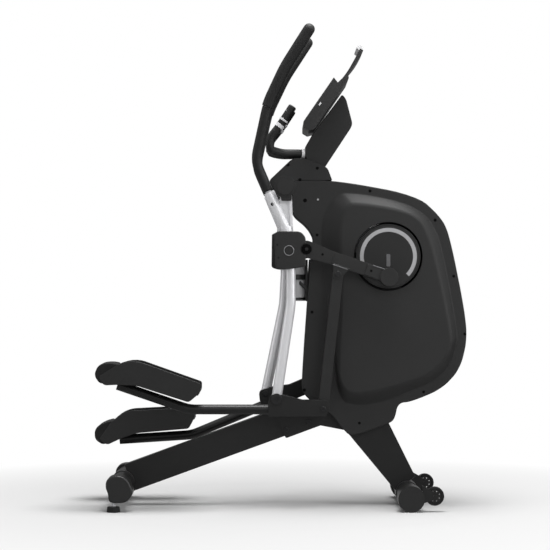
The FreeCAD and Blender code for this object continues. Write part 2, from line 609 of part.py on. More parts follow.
def drive():
    axle = ("axle_x", "axle_z")
    fly = ("fly_x", "fly_z")
    crank_low, crank_high = "crank_y - crank_thick / 2", "crank_y + crank_thick / 2"
    keep(bar("axle_radius", f"-({crank_high})", crank_high, *axle), "crank_axle")

    arms, discs = [], []
    for outward, way in ((-1, -1), (1, 1)):
        pin = ("axle_x", f"axle_z + {way} * crank_throw")
        arm = fuse(bar(22, crank_low, crank_high, *axle, outward),
                   bar(18, crank_low, crank_high, *pin, outward),
                   block(30, "crank_thick", "crank_throw", ("axle_x", f"{outward} * crank_y",
                                                            f"axle_z + {way} * crank_throw / 2")),
                   bar("stud_radius", crank_high, "arm_y + cup_outer - cup_wall - 6", *pin, outward))
        arms.append(cut(arm, bar("axle_radius + running", f"{crank_low} - 1", f"{crank_high} + 1", *axle,
                                 outward)))
        face = f"{crank_high} + gap"
        disc = cut(bar("disc_radius", face, f"{face} + disc_thick", *axle, outward),
                   bar("stud_radius + gap", face, f"{face} + disc_thick + 1", *pin, outward))
        rim = cut(bar("disc_radius", f"{crank_high} - 5", face, *axle, outward),
                  bar("disc_radius - 4", f"{crank_high} - 6", f"{face} + 1", *axle, outward))
        discs.append(fuse(disc, rim))
    keep(group(*arms), "crank_arms")
    keep(group(*discs), "crank_discs")

    low, high = "belt_y - belt_wide / 2", "belt_y + belt_wide / 2"
    web = cut(bar("pulley_radius", low, high, *axle),
              cut(bar("pulley_radius - 10", "belt_y + 3", f"{high} + 1", *axle),
                  bar(30, "belt_y", f"{high} + 2", *axle)),
              cut(bar("pulley_radius - 10", f"{low} - 1", "belt_y - 3", *axle),
                  bar(30, f"{low} - 2", "belt_y", *axle)))
    ports = []
    for n in range(6):
        x, z = turned(72, 0, 60 * n)
        ports.append(bar(24, f"{low} - 1", f"{high} + 1", f"axle_x + {x}", f"axle_z + {z}"))
    keep(cut(web, *ports, bar("axle_radius + running", f"{low} - 1", f"{high} + 1", *axle)), "drive_pulley")

    rim = cut(bar("fly_radius", "-fly_wide / 2", "fly_wide / 2", *fly),
              bar("fly_radius - 26", "-fly_wide / 2 - 1", -6, *fly),
              bar("fly_radius - 26", 6, "fly_wide / 2 + 1", *fly))
    wheel = fuse(rim, bar(20, "-fly_wide / 2", high, *fly), bar("fly_pulley", low, high, *fly))
    keep(cut(wheel, bar("10 + running", -60, 60, *fly)), "flywheel")

    apart = FreeCAD.Vector(size("fly_x - axle_x"), 0, size("fly_z - axle_z"))
    wide, narrow = size("pulley_radius + gap"), size("fly_pulley + gap")
    lean = math.asin((wide - narrow) / apart.Length)

    def loop(more):
        """Belt line round both pulleys: an arc on each and a straight run on each side."""
        ends = []
        for way in (1, -1):
            out = FreeCAD.Vector(apart).normalize() * math.sin(lean)
            side = FreeCAD.Vector(-apart.z, 0, apart.x).normalize() * (way * math.cos(lean))
            normal = out + side
            ends.append((middle + normal * (wide + more), middle + apart + normal * (narrow + more)))
        away = FreeCAD.Vector(apart).normalize()
        (a, b), (c, d) = ends
        edges = [
            Part.LineSegment(a, b).toShape(),
            Part.Arc(b, middle + apart + away * (narrow + more), d).toShape(),
            Part.LineSegment(d, c).toShape(),
            Part.Arc(c, middle - away * (wide + more), a).toShape(),
        ]
        return Part.Wire(edges)

    middle = FreeCAD.Vector(size("axle_x"), size(low) + 1, size("axle_z"))
    belt = across(loop(2.5), size("belt_wide") - 2).cut(across(loop(0), size("belt_wide") - 2))
    keep(made(belt), "drive_belt")

    plate = [("axle_x + 24", "axle_z - 8"), ("fly_x + 22", "fly_z + 6"), ("fly_x + 4", "fly_z - 24"),
             (332, 460), (298, 460), (244, 560), (244, 900), ("axle_x - 8", "axle_z + 26")]
    sides = []
    magnet_pivot = ("fly_x - 175", "fly_z - 105")
    for inner, outer, low, high in ((-32, -27, -40, -22), (56, 61, 53, 69)):
        sides += [profile(plate, inner, outer), bar("axle_radius + 10", low, high, *axle),
                  bar(18, inner, outer, *fly)]
    for low, high in ((570, 630), (830, 890)):
        post_face = [(242.3 - 0.02844 * (z - 262), z) for z in (high, low)]
        sides.append(profile(post_face + [(272, low), (272, high)], -32, 61))
    frame = cut(fuse(*sides), bar("axle_radius + running", -80, 80, *axle), bar(10.06, -80, 80, *fly),
                bar(5.06, -80, 80, *magnet_pivot))
    fly_axle = fuse(bar(10, -37, 65, *fly), bar(15, -40, -32.3, *fly), bar(15, 61.3, 69, *fly))
    magnet_pin = fuse(bar(5, -37, 65, *magnet_pivot), bar(8, -38, -32.3, *magnet_pivot),
                      bar(8, 61.3, 66, *magnet_pivot))
    keep(group(frame, fly_axle, magnet_pin), "drive_frame")

    # Magnet carrier on the rear of the flywheel's rim
    arc = cut(bar("fly_radius + 10", "-fly_wide / 2 - 7", "fly_wide / 2 + 7", *fly),
              bar("fly_radius - 34", "-fly_wide / 2 - 8", "fly_wide / 2 + 8", *fly),
              bar("fly_radius + 4", "-fly_wide / 2 - 3", "fly_wide / 2 + 3", *fly))
    sector = profile([("fly_x - 60", "fly_z - 70"), ("fly_x - 60", "fly_z + 20"),
                      ("fly_x - 200", "fly_z + 20"), ("fly_x - 200", "fly_z - 70")], -40, 40)
    lever = profile([("fly_x - 187", "fly_z - 105"), ("fly_x - 163", "fly_z - 105"),
                     ("fly_x - 143", "fly_z - 30"), ("fly_x - 158", "fly_z - 30")], -16, 16)
    carrier = fuse(common(arc, sector), lever, bar(12, -16, 16, *magnet_pivot))
    keep(cut(carrier, bar(5.06, -60, 60, *magnet_pivot)), "brake_magnets")


drive()


# Frame ---------------------------------------------------------------------------------------------


def lean_box(start, end, deep, wide, wall):
    """A box-section tube in the side view, given by its middle line."""
    a, b = FreeCAD.Vector(*start), FreeCAD.Vector(*end)
    pitch = math.degrees(math.atan2(b.z - a.z, b.x - a.x))
    turn = FreeCAD.Rotation(FreeCAD.Vector(0, -1, 0), pitch)
    tube = []
    for inset in (0, wall):
        longer = 4 if inset else 0
        box = tie(new("Part::Box"), Length=(b - a).Length + longer, Width=f"{wide} - 2 * {inset}",
                  Height=f"{deep} - 2 * {inset}")
        back = FreeCAD.Vector(-longer / 2, inset - size(wide) / 2, inset - size(deep) / 2)
        box.Placement = FreeCAD.Placement(a + turn.multVec(back), turn)
        tube.append(box)
    return cut(*tube)


def frame():
    slope = math.radians(size("beam_slope"))
    front = FreeCAD.Vector(size("beam_front_x"), 0, size("beam_front_z"))
    back = front - FreeCAD.Vector(math.cos(slope), 0, math.sin(slope)) * size("beam_long")
    wall = size("beam_wall")
    beam = lean_box(back, front, "beam_deep", "beam_wide", wall)
    low_bolt, high_bolt = (46, 271), (125, 299)
    bolt_hole = 5.06
    beam = cut(beam, bar("stab_radius + gap", -60, 60, "-rear_x", "rear_z"),
               bar(bolt_hole, -60, 60, *low_bolt))
    keep(beam, "base_beam")

    half = "beam_wide / 2"
    foot = [(435.7, 53.8), (508.3, 102.3), (414, 292), (385, 352), (248, 352), (248, 280)]
    room = [(428, 50), (512, 106), (411, 290), (383, 349), (251, 349), (251, 284)]
    leg = cut(profile(foot, f"-{half}", half), profile(room, f"{wall} - {half}", f"{half} - {wall}"),
              bar("stab_radius + gap", -60, 60, "front_x", "front_cap"), bar(bolt_hole, -60, 60, 275, 318))
    keep(leg, "front_leg")

    post = fuse(lean_box((212, 0, 262), (193, 0, 930), "beam_wide", "beam_wide", wall),
                lean_box((198, 0, 925), (100, 0, 1139), "beam_wide", "beam_wide", wall),
                lean_box((96, 0, 1131), (192, 0, 1337), "50", "40", wall))
    bearing = bar(19, -66, 66, "pivot_x", "pivot_z")
    web = [block(40, 6, 44, (62, y, "pivot_z")) for y in (-16, 16)]
    post = cut(fuse(post, bearing, *web), bar("pivot_radius + running", -70, 70, "pivot_x", "pivot_z"),
               bar(bolt_hole, -60, 60, 222, 350))
    keep(post, "spine_post")

    joint = [(44, 240), (168, 286), (262, 268), (306, 318), (262, 362), (160, 362), (84, 352), (8, 318)]
    plates = []
    for way in (1, -1):
        plate = profile(joint, f"{half} + gap", f"{half} + gap + 6", way, [6, 0, 8, 12, 12, 12, 12, 12])
        spots = [low_bolt, high_bolt, (275, 318), (222, 350)]
        plates.append(cut(plate, *[bar(bolt_hole, -60, 60, *spot) for spot in spots]))
    tie_bar = cut(block(44, "beam_wide", 26, (150, 0, 318)), bar(bolt_hole, -60, 60, *high_bolt))
    keep(group(*plates, tie_bar), "joint_plates")

    face = f"{half} + gap + 6 + gap"
    bolts = []
    for spot in (low_bolt, high_bolt, (275, 318), (222, 350)):
        bolts.append(fuse(bar(5, f"-({face}) - 3", f"{face} + 3", *spot),
                          bar(8.5, face, f"{face} + 5", *spot), bar(8.5, face, f"{face} + 5", *spot, -1)))
    keep(group(*bolts), "frame_bolts")

    for label, x, z in (("front", "front_x", "front_cap"), ("rear", "-rear_x", "rear_z")):
        shell = cut(bar("stab_radius", "-stab_half", "stab_half", x, z),
                    bar("stab_radius - 3", "-stab_half - 1", "stab_half + 1", x, z))
        keep(shell, f"{label}_stabilizer")
    caps = []
    for way in (1, -1):
        cap = cut(bar("front_cap", "stab_half - 40", "stab_half + cap_out", "front_x", "front_cap", way),
                  bar("stab_radius + gap", "stab_half - 41", "stab_half + gap", "front_x", "front_cap", way))
        caps.append(cap)
    keep(group(*caps), "front_end_caps")
    caps = []
    outline = [("-rear_x - 43", 58), ("-rear_x - 43", 112), ("-rear_x - 22", 134), ("-rear_x + 24", 134),
               ("-rear_x + 44", 112), ("-rear_x + 44", 52), ("-rear_x + 28", "rear_cap_low"),
               ("-rear_x - 34", "rear_cap_low")]
    for way in (1, -1):
        cap = cut(profile(outline, "stab_half - 40", "stab_half + cap_out", way,
                          [10, 14, 12, 12, 14, 12, 10, 8]),
                  bar("stab_radius + gap", "stab_half - 41", "stab_half + gap", "-rear_x", "rear_z", way))
        over = {"Placement__Base__x": "-foot_back", "Placement__Base__y": f"{way} * foot_y"}
        screw_hole = tie(new("Part::Cylinder"), Radius="stem_radius + running", Height=40)
        caps.append(cut(cap, tie(screw_hole, Placement__Base__z=20, **over)))
        stem = tie(new("Part::Cylinder"), Radius="stem_radius", Height=40)
        tie(stem, Placement__Base__z="foot_high - 6", **over)
        pad = tie(new("Part::Cone"), Radius1="foot_radius", Radius2="foot_radius - 8", Height="foot_high - 6")
        tie(pad, **over)
        nut = tie(new("Part::Cylinder"), Radius=9, Height=6)
        tie(nut, Placement__Base__z="foot_high - 6", **over)
        keep(fuse(stem, pad, nut), "far_foot" if way > 0 else "near_foot")
    keep(group(*caps), "rear_end_caps")

    brackets = []
    for way in (1, -1):
        label = "far_wheel" if way > 0 else "near_wheel"
        low, high = "wheel_y - wheel_wide / 2", "wheel_y + wheel_wide / 2"
        tyre = cut(bar("wheel_radius", low, high, "wheel_x", "wheel_z", way),
                   bar("6 + running", "wheel_y - 40", "wheel_y + 40", "wheel_x", "wheel_z", way))
        ports = []
        for n in range(8):
            x, z = turned(20, 0, 45 * n)
            ports.append(bar(3, f"{high} - 5", f"{high} + 1", f"wheel_x + {x}", f"wheel_z + {z}", way))
        keep(cut(tyre, *ports), label)
        cheeks = []
        for start in (f"{low} - 5", f"{high} + 1"):
            outline = [("front_x + 38", 92), ("wheel_x", "wheel_z + 12"), ("wheel_x", "wheel_z - 12"),
                       ("front_x + 40", 30)]
            arm = fuse(profile(outline, start, f"{start} + 4", way),
                       bar(12, start, f"{start} + 4", "wheel_x", "wheel_z", way))
            cheeks.append(cut(arm, bar("front_cap + gap", 0, 300, "front_x", "front_cap", way)))
        pin = bar(6, f"{low} - 7", f"{high} + 7", "wheel_x", "wheel_z", way)
        brackets.append(fuse(*cheeks, pin))
    keep(group(*brackets), "wheel_brackets")

    rod = bar("pivot_radius", "-arm_y - 30", "arm_y + 30", "pivot_x", "pivot_z")
    ends = []
    for way in (1, -1):
        ends.append(bar(20, "arm_y + hub_outer + gap", "arm_y + hub_outer + 6", "pivot_x", "pivot_z", way))
        ends.append(bar(18, 70.3, "arm_y - hub_inner - gap", "pivot_x", "pivot_z", way))
    keep(fuse(rod, *ends), "pivot_axle")


frame()


# Housing -------------------------------------------------------------------------------------------

FLANGE = [(222, 1163), (512, 1110), (601, 1027), (629, 961), (678, 720), (692, 600), (666, 490), (600, 418),
          (492, 373), (444, 368), (432, 311), (412, 295), (276, 247), (244, 279), (201, 336), (104, 393),
          (101, 454), (135, 930), (143, 954), (119, 996), (65, 1039), (66, 1085), (66, 1163)]
FOOT = [(165, 985), (201, 1078), (272, 1108), (415, 1082), (515, 1035), (558, 985), (601, 871), (661, 629),
        (658, 586), (629, 529), (558, 465), (486, 422), (379, 372), (294, 365), (237, 376), (217, 500),
        (188, 736)]
CREST = [(243, 985), (271, 1038), (314, 1063), (413, 1052), (502, 1017), (537, 974), (576, 871), (633, 612),
         (624, 563), (596, 524), (540, 486), (449, 445), (342, 410), (271, 403), (240, 430), (225, 488),
         (243, 736)]


def housing(way):
    half, raised, skin = size("flange_half"), size("panel_half"), size("skin")

    def solid(inset):
        flange = across(smooth_outline(FLANGE, way * (0.15 if not inset else -1), 0.38, -inset),
                        way * (half - inset - (0.15 if not inset else -1)))
        foot = smooth_outline(FOOT, way * (half - inset - 0.001), 0.45)
        crest = smooth_outline(CREST, way * (raised - inset), 0.45)
        if inset:
            foot.scale(0.985, FreeCAD.Vector(430, 0, 740))
            crest.scale(0.985, FreeCAD.Vector(430, 0, 740))
        return flange.fuse(Part.makeLoft([foot, crest], True, True))

    shell = solid(0).cut(solid(skin))
    axle = FreeCAD.Vector(size("axle_x"), 0, size("axle_z"))
    opening = Part.makeCylinder(size("disc_radius") + 4, 200, axle, FreeCAD.Vector(0, way, 0))
    shell = shell.cut(opening)
    ways = [
        (Part.makeBox(240, 74, 200, FreeCAD.Vector(20, -37, 220))),
        (Part.makeBox(200, 61, 110, FreeCAD.Vector(240, -30.5, 225))),
        (Part.makeBox(130, 61, 60, FreeCAD.Vector(60, -30.5, 1130))),
        (Part.makeBox(60, 39, 60, FreeCAD.Vector(40, -19.5, 1104))),
    ]
    for room in ways:
        shell = shell.cut(room)
    return shell


for way, label in ((-1, "near_housing"), (1, "far_housing")):
    keep(made(housing(way)), label)


def neck():
    outline = [(-11, 1168), (67, 1241), (106, 1242), (192, 1208), (209, 1163.3), (66.3, 1163.3), (62, 1160),
               (62, 1100), (14, 1112), (6, 1150)]
    half, skin = size("flange_half"), size("skin")
    wire = smooth_outline(outline, -half, 0.2)
    shell = across(wire, 2 * half)
    hollow = across(wire.makeOffset2D(-skin), 2 * half - 2 * skin)
    hollow.translate(FreeCAD.Vector(0, skin, 0))
    shell = shell.cut(hollow)
    pivot = FreeCAD.Vector(size("pivot_x"), 0, size("pivot_z"))
    for radius, reach_y in ((21, half - skin), (size("pivot_radius") + 0.5, half + 1)):
        shell = shell.cut(Part.makeCylinder(radius, 2 * reach_y, pivot - FreeCAD.Vector(0, reach_y, 0),
                                            FreeCAD.Vector(0, 1, 0)))
    shell = shell.cut(Part.makeBox(160, 61, 100, FreeCAD.Vector(40, -30.5, 1105)))
    shell = shell.cut(Part.makeBox(100, 41, 100, FreeCAD.Vector(90, -20.5, 1180)))
    keep(made(shell), "neck_cover")


neck()


# Console -------------------------------------------------------------------------------------------


def sunk(start, end, deep, wide):
    """A flat slab let into the console's sloped face."""
    a, b = FreeCAD.Vector(start[0], -wide / 2, start[1]), FreeCAD.Vector(end[0], -wide / 2, end[1])
    into = FreeCAD.Vector(b.z - a.z, 0, a.x - b.x).normalize() * deep
    return across(Part.makePolygon([a, b, b + into, a + into, a]), wide)


def console():
    half, skin = size("mast_half"), 3
    outline = [(141.9, 1331.5), (238.4, 1473.7), (257, 1457), (283, 1362), (186, 1215), (111, 1279)]
    wire = smooth_outline(outline, -half, 0.06)
    shell = across(wire, 2 * half)
    hollow = across(wire.makeOffset2D(-skin), 2 * (half - skin))
    hollow.translate(FreeCAD.Vector(0, skin, 0))
    shell = shell.cut(hollow).cut(Part.makeBox(90, 42, 90, FreeCAD.Vector(105, -21, 1200)))
    bar_y, tube_r = size("bar_y"), size("bar_tube")
    for way in (1, -1):
        shell = shell.cut(Part.makeCylinder(tube_r + 1, 95, FreeCAD.Vector(70, way * bar_y, 1261.7),
                                            FreeCAD.Vector(1, 0, -0.0714)))
    keep(made(shell), "console_mast")

    half = size("console_half")
    outline = [(121, 1317), (105, 1330), (105, 1363), (212, 1521), (226, 1503), (266, 1538), (266, 1515),
               (139, 1328)]
    body = across(smooth_outline(outline, -half, 0.1), 2 * half)
    hollow = [(123, 1324), (112, 1334), (112, 1361), (212, 1509), (225, 1494), (255, 1510), (136, 1335)]
    inner = across(smooth_outline(hollow, 3 - half, 0.1), 2 * (half - 3))
    low, high = (115.7, 1378.8), (201.3, 1505.2)
    keep(made(body.cut(inner).cut(sunk(low, high, 4, 2 * (half - 22)))), "console_body")
    low, high = (116.1, 1379.4), (200.9, 1504.6)
    keep(made(sunk(low, high, 3.6, 2 * (half - 22.4))), "console_screen")

    rest = [(232, 1509), (262, 1546), (308, 1629), (319, 1621), (296, 1576), (262, 1540.5), (244, 1519.5)]
    lip = [(293, 1631), (306, 1645), (318, 1634), (315, 1622), (305, 1622)]
    back = across(smooth_outline(rest, -110, 0.1), 220)
    edge = across(smooth_outline(lip, -110, 0.1), 220)
    keep(made(back.fuse(edge)), "tablet_rest")

    tubes, rings = [], []
    r = size("bar_tube")
    for way in (1, -1):
        inner, outer = way * bar_y, way * size("bar_spread")
        line = [(150, inner, 1256), (101, inner, 1259.5), (30, way * 62, 1259), (-14, outer, 1270),
                (-12, outer, 1312), (25, outer, 1358), (67, outer, 1422)]
        line = [FreeCAD.Vector(*p) for p in line]
        tube = cut(bent(line, [40, 90, 16, 28, 400], r), bent(line, [40, 90, 16, 28, 400], r - 2.5))
        tubes.append(tube)
        end = line[-1]
        lean = (line[-1] - line[-2]).normalize()
        tubes.append(stick(r - 2.8, end - lean * 16, end + lean * 3))
        tubes.append(block(20, 3, 26, (156, way * 21.8, 1270)))
        for low, high in ((0.1, 0.2), (0.42, 0.52)):
            a, b = line[-2] + (end - line[-2]) * low, line[-2] + (end - line[-2]) * high
            rings.append(cut(stick(r + 1.2, a, b), stick(r + 0.3, a - lean, b + lean)))
        back = (line[1] - line[0]).normalize()
        rings.append(cut(stick(r + 2, line[1] - back * 12.5, line[1] - back * 2),
                         stick(r + 0.6, line[1] - back * 15, line[1])))
    keep(group(*tubes), "fixed_handlebar")
    keep(group(*rings), "handlebar_rings")


console()


def cage():
    """A bottle cage on the back of the housing: straps round a cup that stays free of them."""
    def upright(radius, low, high):
        return tie(new("Part::Cylinder"), Radius=radius, Height=f"{high} - {low}", Placement__Base__x=80,
                   Placement__Base__z=low)

    straps = [profile([(116.2, 731), (120.2, 731), (130.9, 881), (126.9, 881)], -30, 30)]
    for low in (740, 794, 848):
        straps.append(cut(upright(39.5, low, low + 12), upright(36.3, low - 1, low + 13)))
        straps.append(block(8, 24, 12, (f"115.5 + ({low} - 740) * 0.07", 0, low + 6)))
    straps.append(cut(upright(39.5, 728, 731.7), upright(20, 727, 733)))
    straps.append(block(4, 24, 30, (118, 0, 742)))
    cup = cut(upright(36, 732, 861), upright(33.5, 736, 862))
    keep(group(fuse(*straps), cup), "bottle_cage")


cage()


# Checks and export ---------------------------------------------------------------------------------

doc.recompute()
for thing in doc.Objects:
    if {"Invalid", "Error"} & set(thing.State):
        raise RuntimeError(f"{thing.Label} could not be made: {thing.State}")
os.makedirs("parts", exist_ok=True)
for thing in MADE:
    shape = thing.Shape
    if shape.isNull() or not shape.isValid() or not shape.Solids:
        raise RuntimeError(f"{thing.Label} has no valid solid")
    shape.exportStep(f"parts/{thing.Label}.step")
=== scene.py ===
# %% [markdown]
# # An elliptical trainer
# The machine stands on two bars across the floor. A housing at the front hides the crank, the belt and
# the flywheel. On each side a swing arm hangs from a pivot under the console. A connecting rod joins it
# to the crank, and a drop link carries the front of the pedal's tube.
#
# The hard parts come ready from CAD, in metres, with +X to the front and +Z up. This lesson gives them
# finishes, models again what needs soft edges and small detail, and lights the result.

# %% Load the CAD frame
import json
import math

import bmesh
import bpy
from mathutils import Matrix, Quaternion, Vector

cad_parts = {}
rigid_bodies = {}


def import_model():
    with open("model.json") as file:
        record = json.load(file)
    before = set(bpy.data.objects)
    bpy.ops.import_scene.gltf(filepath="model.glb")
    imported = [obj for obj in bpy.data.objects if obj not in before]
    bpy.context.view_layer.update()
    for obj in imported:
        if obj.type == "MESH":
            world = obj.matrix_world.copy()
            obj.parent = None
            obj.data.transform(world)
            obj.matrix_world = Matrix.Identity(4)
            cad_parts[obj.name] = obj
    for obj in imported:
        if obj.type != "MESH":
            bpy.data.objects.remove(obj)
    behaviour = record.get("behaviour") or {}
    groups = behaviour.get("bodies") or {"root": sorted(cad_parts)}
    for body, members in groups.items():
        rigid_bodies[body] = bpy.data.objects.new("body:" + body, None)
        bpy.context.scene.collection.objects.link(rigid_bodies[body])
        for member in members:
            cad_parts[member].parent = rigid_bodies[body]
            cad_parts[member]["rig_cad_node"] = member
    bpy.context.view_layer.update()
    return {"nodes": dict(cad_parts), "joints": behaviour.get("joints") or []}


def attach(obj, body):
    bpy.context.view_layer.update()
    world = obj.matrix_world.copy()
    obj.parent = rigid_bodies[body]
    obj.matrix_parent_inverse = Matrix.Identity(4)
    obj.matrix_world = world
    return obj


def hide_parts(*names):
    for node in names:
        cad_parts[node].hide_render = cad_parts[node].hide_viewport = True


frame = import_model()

nodes = frame["nodes"]
bpy.context.scene.view_settings.view_transform = "Standard"

# %% [markdown]
# ## Camera
# A machine in a catalogue is shown from the side, with a long lens from far off, so that its proportions
# stay true. The camera is level, and about as high as the middle of the machine.

# %% Camera
bpy.ops.object.camera_add(location=(-0.0129, -7.5, 0.825), rotation=(math.pi / 2, 0, 0))
camera = bpy.context.object
camera.data.lens = 136.4
bpy.context.scene.camera = camera
print("camera", camera.location[:])

# %% [markdown]
# ## Finishes
# A finish is a small network of nodes. Written node by node it is long, so two small classes keep it
# short: `Port` stands for a socket and lets a pattern be written as sums, and `Finish` makes the material
# and its nodes.

# %% The two classes
class Port:
    """A socket that takes part in sums, each of which adds a Math node."""

    def __init__(self, finish, socket):
        self.finish, self.socket = finish, socket

    def maths(self, operation, *values):
        return self.finish.node("Math", {"operation": operation}, dict(enumerate(values)))

    def __add__(self, other):
        return self.maths("ADD", self, other)

    def __mul__(self, other):
        return self.maths("MULTIPLY", self, other)

    __radd__, __rmul__ = __add__, __mul__


class Finish:
    """A material made of nodes. Its shader's own sockets take what is the same all over."""

    def __init__(self, name, colour, **sockets):
        self.material = bpy.data.materials.new(name)
        self.material.use_nodes = True
        self.tree = self.material.node_tree
        self.shader = self.tree.nodes["Principled BSDF"]
        self.shader.inputs["Base Color"].default_value = (*colour, 1)
        self.set(**{"Specular_IOR_Level": 0.22, **sockets})
        self.place = self.node("TexCoord", {}, {}, "Object")

    def node(self, kind, settings, values, out=0):
        made = self.tree.nodes.new("ShaderNode" + kind)
        for name, setting in settings.items():
            setattr(made, name, setting)
        for name, value in values.items():
            self.feed(made.inputs[name], value)
        return Port(self, made.outputs[out])

    def feed(self, socket, value):
        if isinstance(value, Port):
            self.tree.links.new(value.socket, socket)
        else:
            socket.default_value = value

    def set(self, **sockets):
        for name, value in sockets.items():
            self.feed(self.shader.inputs[name.replace("_", " ")], value)
        return self

    def grain(self, size, detail=2.0):
        """Noise whose blotches are about this many metres across."""
        return self.node("TexNoise", {}, {"Vector": self.place, "Scale": 1 / size, "Detail": detail})

    def tones(self, dark, light, mask):
        """Goes from one colour to another with a mask."""
        mix = self.node("Mix", {"data_type": "RGBA"}, {"Factor": mask, 6: (*dark, 1), 7: (*light, 1)}, 2)
        return self.set(Base_Color=mix)

    def relief(self, height, depth):
        bump = self.node("Bump", {}, {"Height": height, "Distance": depth, "Strength": 1.0})
        return self.set(Normal=bump)


def grey(tone, blue=0.0):
    return tone, tone, tone + blue


print("Port and Finish are ready")

# %% [markdown]
# ## Paint on steel
# The frame is powder coated: a thin plastic film, baked on, satin, with a very fine orange peel. Two
# noises make it, one fine for the peel and one broad for the places that hands and shoes have polished.

# %% Powder coat
def powder_coat(name, tone):
    finish = Finish(name, grey(tone), Specular_IOR_Level=0.34)
    broad = finish.grain(0.09, 3)
    finish.tones(grey(tone * 0.86), grey(tone * 1.12), broad)
    finish.set(Roughness=0.27 + broad * 0.12)
    return finish.relief(finish.grain(0.0012, 1) * 0.6 + finish.grain(0.006, 1) * 0.4, 0.00012)


frame_paint = powder_coat("black powder coat", 0.012)
rod_paint = powder_coat("rod powder coat", 0.019)
print(frame_paint.material.name, rod_paint.material.name)

# %% [markdown]
# ## Moulded plastic
# Covers are moulded in black plastic. The tool is etched, so the surface has a fine leathery grain that
# scatters the light, and rubbed places are a little smoother.

# %% Etched black plastic
def etched_plastic(name, tone, roughness, shine=0.42, cell=0.0009, depth=0.00012):
    finish = Finish(name, grey(tone), Specular_IOR_Level=shine)
    broad = finish.grain(0.13, 3)
    finish.tones(grey(tone * 0.9), grey(tone * 1.1), broad)
    finish.set(Roughness=roughness - 0.04 + broad * 0.08)
    cells = finish.node("TexVoronoi", {"feature": "SMOOTH_F1"}, {"Vector": finish.place, "Scale": 1 / cell})
    return finish.relief(cells, depth)


housing_plastic = etched_plastic("housing plastic", 0.02, 0.55, 0.28)
trim_plastic = etched_plastic("trim plastic", 0.015, 0.3)
pedal_plastic = etched_plastic("pedal plastic", 0.014, 0.34)
gloss_plastic = etched_plastic("smooth black plastic", 0.016, 0.22, cell=0.004, depth=0.00003)
print(len(bpy.data.materials), "materials")

# %% [markdown]
# ## Soft and bare materials
# The grips are closed-cell foam, which is dull and full of pores. Rubber is smoother. Tubes and castings
# are sprayed silver, bolts are zinc plated or blackened, and the small pale trims are printed or moulded.

# %% Foam and rubber
foam = Finish("grip foam", grey(0.012), Specular_IOR_Level=0.32)
pores = foam.node("TexVoronoi", {}, {"Vector": foam.place, "Scale": 900.0})
foam.tones(grey(0.008), grey(0.015), foam.grain(0.03, 4))
foam.set(Roughness=0.4 + foam.grain(0.02, 2) * 0.15).relief(pores, 0.0003)

rubber = Finish("black rubber", grey(0.012), Specular_IOR_Level=0.2)
rubber.tones(grey(0.009), grey(0.016), rubber.grain(0.05, 4))
rubber.set(Roughness=0.6 + rubber.grain(0.01, 2) * 0.15).relief(rubber.grain(0.0015, 3), 0.00015)
print("foam and rubber")

# %% Silver, zinc, chrome and iron
def bare_metal(name, dark, light, low, high, patch=0.002, depth=0.00002, metallic=1.0):
    """Metal whose small marks vary its tone and its roughness, from low to high."""
    finish = Finish(name, light, Metallic=metallic)
    marks = finish.grain(patch, 4.0)
    finish.tones(dark, light, marks)
    finish.set(Roughness=low + marks * (high - low))
    return finish.relief(marks, depth)


silver = bare_metal("silver lacquer", grey(0.76, 0.02), grey(0.83, 0.02), 0.22, 0.3, 0.0008, metallic=0.35)
cast_alloy = bare_metal("cast alloy", grey(0.76, 0.02), grey(0.9, 0.02), 0.3, 0.45, 0.0012, 0.0001, 0.3)
zinc = bare_metal("zinc plate", grey(0.42, 0.01), grey(0.62, 0.02), 0.25, 0.45)
dark_bolt = bare_metal("blackened bolts", grey(0.02), grey(0.05, 0.002), 0.25, 0.4, metallic=0.7)
chrome = bare_metal("chrome", grey(0.8, 0.02), grey(0.9, 0.02), 0.05, 0.14, 0.01)
iron = bare_metal("turned iron", grey(0.1, 0.005), grey(0.24, 0.01), 0.3, 0.5)
print(len(bpy.data.materials), "materials")

# %% Small trims and glass
def mottled(name, dark, light, patch, detail, roughness, **sockets):
    """A plain finish whose tone drifts a little from place to place."""
    middle = [(low + high) / 2 for low, high in zip(dark, light)]
    finish = Finish(name, middle, **sockets)
    return finish.tones(dark, light, finish.grain(patch, detail)).set(Roughness=roughness)


# The near-black, almost shineless screw coat is partly painted shade: the screws and knobs are black, and
# the coat is darkened to the shadow in the holes and recesses where they sit.
black_screw_and_painted_shade = mottled("black screws", grey(0.001), grey(0.003), 0.002, 3, 0.5, Specular_IOR_Level=0.06)
light_print = mottled("pale trim", grey(0.37, 0.01), grey(0.43, 0.01), 0.01, 2, 0.4)
# This dim coat is a painted highlight: the rods' beads and the bar over the crank wear it for light caught
# on their edges.
painted_highlight_coat = mottled("dim trim", grey(0.12, 0.005), grey(0.16, 0.005), 0.01, 2, 0.4)
# This pale coat is the own colour of the shelf's lip and the side inlay, and a painted reflection on the
# handlebar's collars.
pale_plastic_and_painted_reflection = mottled("pale frosted plastic", grey(0.74, 0.01), grey(0.82, 0.01), 0.02, 3, 0.35)
cup_plastic = mottled("clouded cup plastic", grey(0.36, 0.01), grey(0.52, 0.01), 0.03, 3, 0.4)
glass = Finish("display glass", (0.01, 0.012, 0.014), Coat_Roughness=0.03)
glass.set(Roughness=0.08 + glass.grain(0.02, 3) * 0.06, Coat_Weight=0.6)
print(len(bpy.data.materials), "materials")

# %% [markdown]
# ## Every CAD node gets a finish
# Hard parts that are not modelled again keep their CAD shape. A new piece that stands for a node hides
# it.

# %% Paint the CAD nodes
def both(*parts):
    """The names that these parts have on the two sides of the machine."""
    return [f"{side}_{part}" for part in parts for side in ("near", "far")]


